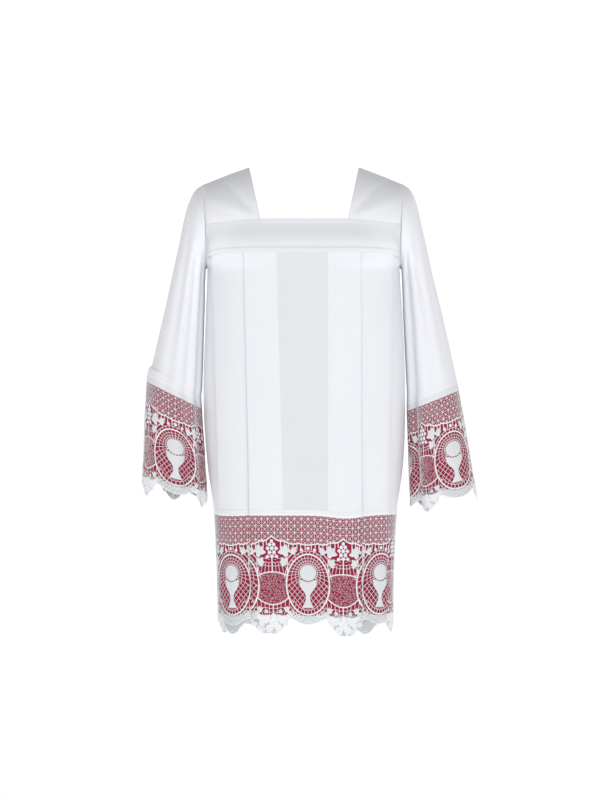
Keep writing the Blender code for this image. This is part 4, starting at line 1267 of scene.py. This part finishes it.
def draw_edge():
    """Rings under the medallion, blossoms under the panel, and the picots."""
    for row, lift in ((0, 13.0), (1, 8.2), (2, 3.6)):
        for s in np.arange(-38.5 + RING_EVERY / 2.0 * (row % 2), 39.0, RING_EVERY):
            middle = np.array([s, float(scallop(s)) - lift])
            if in_oval(middle[None], 1.05)[0] or middle[1] < 190.0:
                continue
            thread(circle(EDGE_RING, 12) + middle, "edge_ring", closed=True, step=1.6, tone=SATIN_TONE)
            dome(middle + np.array([EDGE_RING + 0.4, 2.4]), circle(1.3, 6), 0.9)
    for s, drop, size in BLOSSOMS:
        blossom((HALF + s, drop), size)
    off = lambda path: HALF - off_middle(path[:, 0])
    backing = lambda path: (~in_oval(path, 1.04) & (path[:, 1] < scallop(path[:, 0]) - 1.0)
                            & (path[:, 1] > np.minimum(203.0 + 0.004 * off(path) ** 2, 206.0)))
    # The backing threads are painted grey as painted shade behind the blossoms.
    for drop in np.arange(204.5, 240.0, 3.0):
        for part in runs(np.stack([across, drop + 0.0 * across], axis=1), backing):
            thread(part, "backing", tone=SHADED_TONE)
    thread(np.stack([across, scallop(across) - 1.6], axis=1), "edge_line", main=True, tone=SATIN_TONE)
    for number, s in enumerate(np.arange(-HALF + PICOT_EVERY / 2.0, HALF, PICOT_EVERY)):
        size = 2.5 if number % 3 == 1 else 1.9
        dome((s, float(scallop(s)) - 0.4), circle(size, 8), 1.2, main=True)


before = len(drawing)
draw_edge()
print("free edge:", len(drawing) - before, "threads and fillings")

# %% [markdown]
# ### Laying the lace on the garment
# The drawing of one repeat becomes three arrays: points with their height, faces and lengths. It is copied
# along the strip, and every point is then placed by its length along the cloth, its drop and its height
# over it. Inside a pleat, where nobody sees it, only the main cords and fillings are kept.

# %% Joining the drawing and placing it
def join_drawing():
    """One set of arrays from all patches, in metres, with a flag for the faces that are kept everywhere."""
    points, faces, uv, main, tone = [], [], [], [], []
    start = 0
    for flat, quads, lengths, kept, white in drawing:
        points.append(flat)
        faces.append(quads + start)
        uv.append(lengths)
        main.append(np.full(len(quads), kept))
        tone.append(np.full(len(flat), white))
        start += len(flat)
    return (np.concatenate(points) * MM, np.concatenate(faces), np.concatenate(uv) * MM, np.concatenate(main),
            np.concatenate(tone))


LACE_POINTS, LACE_FACES, LACE_UV, LACE_MAIN, LACE_WHITENESS_AND_SHADE = join_drawing()
print("one repeat:", len(LACE_FACES), "faces")

lace_area = {}
LACE_OVER = 0.003
LACE_LIFT = 0.0009
MEASURED_DROP = 0.143
EDGE_AT_MEDALLION, SHOW_BEHIND = 1.27, 0.004
# Along the hem the lace is eased inside the pleats: its pattern's own length at lengths along the panel.
HEM_EASE = {
    "length": (-0.6000, -0.2300, -0.1100, 0.1100, 0.2300, 0.6000),
    "pattern": (-0.5885, -0.2185, -0.1180, 0.1020, 0.2055, 0.5755),
}
# On a sleeve it is eased down, by drops in the drawing and on the cloth, and round by a wave in each repeat.
SLEEVE_EASE = {
    "drop": (0.0, 0.0615, 0.0830, 0.2030, 0.2225, 0.2410),
    "cloth": (0.0, 0.0735, 0.0975, 0.2070, 0.2250, 0.2410),
}
SLEEVE_WIDEN = {"left": 0.30, "right": 0.16}
# Below this drop the lace hangs free, and also the layers inside a pleat show.
FREE_DROP = 0.196
DROP_ROWS = np.linspace(-0.004, 0.262, 90)


def read_grid(grid, row, column):
    """A grid's value between its points, by the shares of the four nearest ones."""
    row = np.clip(row, 0.0, grid.shape[0] - 1.000001)
    column = np.clip(column, 0.0, grid.shape[1] - 1.000001)
    r, c = row.astype(int), column.astype(int)
    fr, fc = (row - r)[:, None], (column - c)[:, None]
    top = between(grid[r, c], grid[r, c + 1], fc)
    foot = between(grid[r + 1, c], grid[r + 1, c + 1], fc)
    return between(top, foot, fr)


def repeats(turns):
    """Copies of the drawing side by side: points, faces, lengths, whiteness and the faces always kept."""
    points = np.concatenate([LACE_POINTS + np.array([turn * REPEAT * MM, 0.0, 0.0]) for turn in turns])
    faces = np.concatenate([LACE_FACES + number * len(LACE_POINTS) for number in range(len(turns))])
    count = len(turns)
    return points, faces, np.tile(LACE_UV, (count, 1)), np.tile(LACE_WHITENESS_AND_SHADE, count), np.tile(LACE_MAIN, count)


def drop_unused(points, faces, *others):
    """Leaves out the points that no face uses."""
    used = np.unique(faces)
    renumber = np.zeros(len(points), dtype=np.int64)
    renumber[used] = np.arange(len(used))
    return points[used], renumber[faces], [other[used] for other in others]


def lace_piece(node, faces, uv, tone, places, outward, cut):
    """A piece of lace on placed points, with the area that its threads cover worked out and kept."""
    name = f"{node}_threads"
    corners = places[faces]
    diagonals = corners[:, 2] - corners[:, 0], corners[:, 3] - corners[:, 1]
    area = 0.5 * np.linalg.norm(np.cross(*diagonals), axis=1).sum()
    piece = make_mesh(name, places, faces, uv, outward, "lace_thread")
    give_whiteness_and_shade(piece, tone)
    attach(piece, "root")
    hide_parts(node)
    lace_area[node] = float(min(area, cut[0] * cut[1]))
    pieces[node], cuts[node] = piece, cut
    share = lace_area[node] / (cut[0] * cut[1])
    size = f"{1000 * cut[0]:.0f} x {1000 * cut[1]:.0f} mm"
    print(f"{name}: {len(faces)} faces, thread covers {share:.2f} of {size}")


middle_row = strip(np.full((1, 1), LACE_TOP - MEASURED_DROP), 0.0, "front")[0]
station_gaps = np.linalg.norm(np.diff(middle_row[:, :2], axis=0), axis=1)
STATION_LENGTHS = np.concatenate([[0.0], np.cumsum(station_gaps)])
STATION_LENGTHS -= STATION_LENGTHS[MIDDLE_STATION]
# Stations that show: the middle flat, the outer bends, and what lies beyond the pleat edge in front of it.
station_sign, station_fold, station_kind = STATIONS.T[:3]
beyond = np.zeros(len(STATIONS), bool)
for sign, folds in PLEATS.items():
    for fold, one in enumerate(folds):
        edge = between(one["top"], one["foot"], EDGE_AT_MEDALLION)
        later = (station_fold == fold + 1) & (station_kind == (FLAT if fold == 0 else SIDE))
        beyond |= (station_sign == sign) & later & (np.abs(middle_row[:, 0]) > edge - SHOW_BEHIND)
SHOWS = ((station_fold == 0) & (station_kind == FLAT)) | (station_kind == EDGE) | beyond


def make_hem_lace(end):
    """The hem lace: lengths are looked up among the stations and drops among rows of heights."""
    first, last = STATION_LENGTHS[0], STATION_LENGTHS[-1]
    flat, faces, uv, tone, main = repeats(range(-5, 6))
    length = np.interp(flat[:, 0], HEM_EASE["pattern"], HEM_EASE["length"])
    place = np.interp(length, STATION_LENGTHS, np.arange(len(STATION_LENGTHS)))
    seen = SHOWS[np.clip(np.round(place).astype(int), 0, len(SHOWS) - 1)]
    keep = main | seen[faces].any(axis=1) | (flat[faces, 1] > FREE_DROP).all(axis=1)
    keep &= (length[faces].min(axis=1) >= first) & (length[faces].max(axis=1) <= last)
    flat, faces, (uv, tone, place) = drop_unused(flat, faces[keep], uv, tone, place)
    height = LACE_TOP + LACE_OVER - STATION_DIPS[None, :] - DROP_ROWS[:, None]
    base = strip(height, LACE_LIFT, end)
    normal = (strip(height, LACE_LIFT + 0.0005, end) - base) / 0.0005
    row = np.interp(flat[:, 1], DROP_ROWS, np.arange(len(DROP_ROWS)))
    outward = read_grid(normal, row, place)
    places = read_grid(base, row, place) + outward * flat[:, 2:3]
    cut = (float(last - first), POINT_TIP * MM)
    lace_piece(f"lace_{end}", faces, uv, tone, behind(places, end), behind(outward, end), cut)


def make_sleeve_lace(side, part, first, count):
    """A part of a sleeve's lace: the same drawing laid round the tube, each medallion made a little wider."""
    flat, faces, uv, tone, _ = repeats(range(first, first + count))
    drop = np.interp(flat[:, 1], SLEEVE_EASE["drop"], SLEEVE_EASE["cloth"], right=0.244)
    drop = np.where(flat[:, 1] < 0.0, flat[:, 1], drop)
    share = flat[:, 0] / (REPEAT * MM)
    share = share + SLEEVE_WIDEN[side] * np.sin(2.0 * math.pi * share) / (2.0 * math.pi)
    angle = np.radians(SLEEVE_MEDALLION[side] + 360.0 * share / SLEEVE_REPEATS)
    place = LAST_RING + (drop - LACE_OVER) / np.where(drop < LACE_OVER, CUFF_RING_LENGTH, SLEEVE_LACE_LENGTH)
    points, normal = sleeve_surface(side, place, angle)
    places = points + normal * (flat[:, 2:3] + LACE_LIFT)
    tone = np.where(flat[:, 1] < (NET_TOP + 0.5) * MM, SATIN_TONE + 0.1, tone)
    cut = (count * REPEAT * MM, POINT_TIP * MM)
    lace_piece(f"lace_sleeve_{side}_{part}", faces, uv, tone, places, normal, cut)


SLEEVE_MEDALLION = {"left": 94.0, "right": 61.0}
SLEEVE_REPEATS = 3
CUFF_RING_LENGTH = 0.035
for end in ("front", "back"):
    make_hem_lace(end)
for side in ("left", "right"):
    make_sleeve_lace(side, "front", 0, 1)
    make_sleeve_lace(side, "back", 1, 2)

# %% [markdown]
# ## Stitches
# Machine stitches show where cloth is turned and sewn: along hem, band fold, neck and sleeves.
# Each is a short raised ribbon a third of a millimetre proud, about three millimetres long.

# %% Rows of stitches
STITCH_LENGTH = 0.0030
STITCH_PITCH = 0.0040
STITCH_WIDTH = 0.0006


def stitch_row(points, outward):
    """Places for a row of stitches along a line on the cloth: three points along each and three across."""
    outward = outward / np.linalg.norm(outward, axis=1, keepdims=True)
    length = np.concatenate([[0.0], np.cumsum(np.linalg.norm(np.diff(points, axis=0), axis=1))])
    middles = np.arange(STITCH_PITCH, length[-1] - STITCH_PITCH, STITCH_PITCH)
    at = middles[:, None] + np.array([-0.5, 0.0, 0.5]) * STITCH_LENGTH
    place = np.stack([np.interp(at, length, points[:, axis]) for axis in range(3)], axis=-1)
    normal = np.stack([np.interp(at, length, outward[:, axis]) for axis in range(3)], axis=-1)
    along = place[:, 2:3] - place[:, 0:1]
    side = np.cross(along, normal)
    side /= np.linalg.norm(side, axis=2, keepdims=True)
    across_way = np.array([-0.5, 0.0, 0.5])
    width = STITCH_WIDTH * np.array([0.5, 1.0, 0.5])
    rise = 0.00033 * np.outer([0.3, 1.0, 0.3], [0.0, 1.0, 0.0])
    grid = (place[:, :, None, :] + side[:, :, None, :] * (width[:, None] * across_way)[None, :, :, None]
            + normal[:, :, None, :] * rise[None, :, :, None])
    return grid, np.broadcast_to(normal[:, :, None, :], grid.shape)


def stitch_piece(node, rows):
    """All rows of stitches on one piece of cloth as one mesh."""
    name = f"stitches_{node}"
    grids, normals = zip(*(stitch_row(points, outward) for points, outward in rows))
    grid, normal = np.concatenate(grids), np.concatenate(normals)
    block = grid_faces(3, 3)
    faces = (block[None] + 9 * np.arange(len(grid))[:, None, None]).reshape(-1, 4)
    three = np.array([0.0, 0.001, 0.002])
    uv = np.tile(np.stack(np.meshgrid(three, three), axis=-1).reshape(-1, 2), (len(grid), 1))
    piece = make_mesh(name, grid.reshape(-1, 3), faces, uv, normal.reshape(-1, 3), "lace_thread")
    give_whiteness_and_shade(piece, np.full(grid.size // 3, CORD_TONE))
    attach(piece, "root")
    print(f"{name}: {len(grid)} stitches")


def lifted(grid, outward, row, thickness):
    """A row of a grid, moved to the cloth's outer face."""
    way = outward[row] / np.linalg.norm(outward[row], axis=1, keepdims=True)
    return grid[row] + way * thickness / 2.0, way


for end in ("front", "back"):
    grid, outward = panel_grids[end]
    seen = np.flatnonzero(SHOWS)
    hem_row = PANEL_ROWS + 2
    row, way = lifted(grid, outward, hem_row, WHITE_THICK)
    stretches = np.split(seen, np.flatnonzero(np.diff(seen) > 1) + 1)
    rows = [(row[s], way[s]) for s in stretches if len(s) > 3]
    stitch_piece(end, rows)
    grid, outward, fold_row = band_grids[end]
    rows = [lifted(grid, outward, number, BAND_THICK) for number in (fold_row + 2, fold_row + 7)]
    top = np.abs(grid[8, :, 0]) < NECK_HALF_FRONT
    neck_row, neck_way = lifted(grid, outward, 6, BAND_THICK)
    rows.append((neck_row[top], neck_way[top]))
    stitch_piece(f"band_{end}", rows)
for side in ("left", "right"):
    grid, outward = shoulder_grids[side]
    row, way = lifted(grid.swapaxes(0, 1), outward.swapaxes(0, 1), 4, BAND_THICK)
    stitch_piece(f"shoulder_{side}", [(row, way)])
    grid, outward = sleeve_grids[side]
    row, way = lifted(grid, outward, SLEEVE_ROWS + 3, WHITE_THICK)
    stitch_piece(f"sleeve_{side}", [(np.concatenate([row, row[:1]]), np.concatenate([way, way[:1]]))])

# %% [markdown]
# ## The sheets
# Every sheet's size that it is cut to, which is its own length along the folds, is kept in a table when the
# sheet is made.

# %% Sheets
print("sheets declared:", len(pieces))

# %% [markdown]
# ## Floor, light and camera
# A pale sheet of paper curves up behind the garment, so there is no horizon. Two large soft lights stand
# beside the camera, the right one stronger. They light the front evenly, and cloth that faces up or aside
# gets less. A dim room fills in the rest, darker overhead than round about.

# %% The studio
FLOOR = -1.30
PAPER_FRONT, PAPER_BACK, PAPER_BEND, PAPER_HALF, PAPER_TOP = -16.0, 2.2, 1.0, 16.0, 3.5
PAPER_GLOW = 0.36
ROOM_LIGHT, ROOM_OVERHEAD, ROOM_SHOWN = 0.555, 0.21, 0.97


def make_paper():
    """A backdrop: level, then a quarter circle, then upright. From behind one looks through it."""
    turn = np.linspace(0.0, math.pi / 2.0, 24)
    y = np.concatenate([[PAPER_FRONT], PAPER_BACK - PAPER_BEND + PAPER_BEND * np.sin(turn), [PAPER_BACK]])
    z = np.concatenate([[FLOOR], FLOOR + PAPER_BEND - PAPER_BEND * np.cos(turn), [PAPER_TOP]])
    x = np.array([-PAPER_HALF, PAPER_HALF])
    grid = np.stack(np.broadcast_arrays(x, y[:, None], z[:, None]), axis=-1)
    paper = bpy.data.materials.new("backdrop_paper")
    paper.use_nodes = True
    tree = paper.node_tree
    shader = tree.nodes["Principled BSDF"]
    place = add(tree, "TexCoord").outputs["Object"]
    grain = add(tree, "TexNoise", {"Vector": place, "Scale": 60.0, "Detail": 3.0})
    tone = add(tree, "Mix", {0: grain.outputs["Fac"], 6: linear("#FBFBFB"), 7: linear("#FFFFFF")},
               data_type="RGBA")
    tree.links.new(tone.outputs[2], shader.inputs["Base Color"])
    shader.inputs["Roughness"].default_value = 0.9
    shader.inputs["Emission Color"].default_value = (1.0, 1.0, 1.0, 1.0)
    shader.inputs["Emission Strength"].default_value = PAPER_GLOW
    behind_it = add(tree, "NewGeometry").outputs["Backfacing"]
    clear = add(tree, "BsdfTransparent").outputs["BSDF"]
    either = add(tree, "MixShader", {0: behind_it, 1: shader.outputs["BSDF"], 2: clear})
    tree.links.new(either.outputs["Shader"], tree.nodes["Material Output"].inputs["Surface"])
    materials["paper"] = paper
    outward = np.broadcast_to(np.array([0.0, -1.0, 1.0]), grid.shape)
    sheet = make_mesh("backdrop", grid.reshape(-1, 3), grid_faces(len(y), 2), grid[..., :2].reshape(-1, 2),
                      outward.reshape(-1, 3), "paper")


def make_light(name, place, aim, size, power):
    """A square area light that faces a point."""
    lamp = bpy.data.lights.new(name, "AREA")
    lamp.shape = "SQUARE"
    lamp.size = size
    lamp.energy = power
    made = bpy.data.objects.new(name, lamp)
    bpy.context.scene.collection.objects.link(made)
    way = np.array(aim) - np.array(place)
    made.location = place
    tilt = math.atan2(math.hypot(way[0], way[1]), -way[2])
    made.rotation_euler = (tilt, 0.0, math.atan2(way[1], way[0]) - math.pi / 2.0)
    return made


def make_room():
    """Light from all round: a direction's height picks its strength. The camera sees plain white there."""
    world = bpy.data.worlds.new("bright_room")
    world.use_nodes = True
    tree = world.node_tree
    way = add(tree, "SeparateXYZ", {0: add(tree, "TexCoord").outputs["Generated"]})
    strength = add(tree, "MapRange", {"Value": way.outputs["Z"], "From Min": 0.0, "From Max": 1.0,
                                      "To Min": ROOM_LIGHT, "To Max": ROOM_OVERHEAD})
    sky = tree.nodes["Background"]
    sky.inputs["Color"].default_value = (1.0, 1.0, 1.0, 1.0)
    to_camera = add(tree, "LightPath").outputs["Is Camera Ray"]
    shown = add(tree, "Mix", {0: to_camera, 2: strength.outputs["Result"], 3: ROOM_SHOWN}, data_type="FLOAT")
    tree.links.new(shown.outputs[0], sky.inputs["Strength"])
    bpy.context.scene.world = world


make_paper()
make_room()
CHEST = (0.0, 0.0, -0.45)
make_light("right_softbox", (2.6, -8.6, 0.05), CHEST, 2.6, 180.0)
make_light("left_softbox", (-2.6, -8.6, 0.05), CHEST, 2.6, 106.0)
bpy.context.scene.view_settings.view_transform = "Standard"

PIXEL = 0.0020
CAMERA_DISTANCE = 9.0
SCALE_PLANE = -0.07
VIEW_MIDDLE = ((306.5 - 304.0) * PIXEL, (166.0 - 400.0) * PIXEL)
FRAME_TALL = 800.0 * PIXEL
lens = bpy.data.cameras.new("photo_camera")
lens.sensor_width = 36.0
lens.lens = lens.sensor_width * CAMERA_DISTANCE / FRAME_TALL
camera = bpy.data.objects.new("photo_camera", lens)
bpy.context.scene.collection.objects.link(camera)
camera.location = (VIEW_MIDDLE[0], SCALE_PLANE - CAMERA_DISTANCE, VIEW_MIDDLE[1])
camera.rotation_euler = (math.pi / 2.0, 0.0, 0.0)
bpy.context.scene.camera = camera
print("camera:", [round(v, 3) for v in camera.location], "lens", round(lens.lens, 1), "mm")
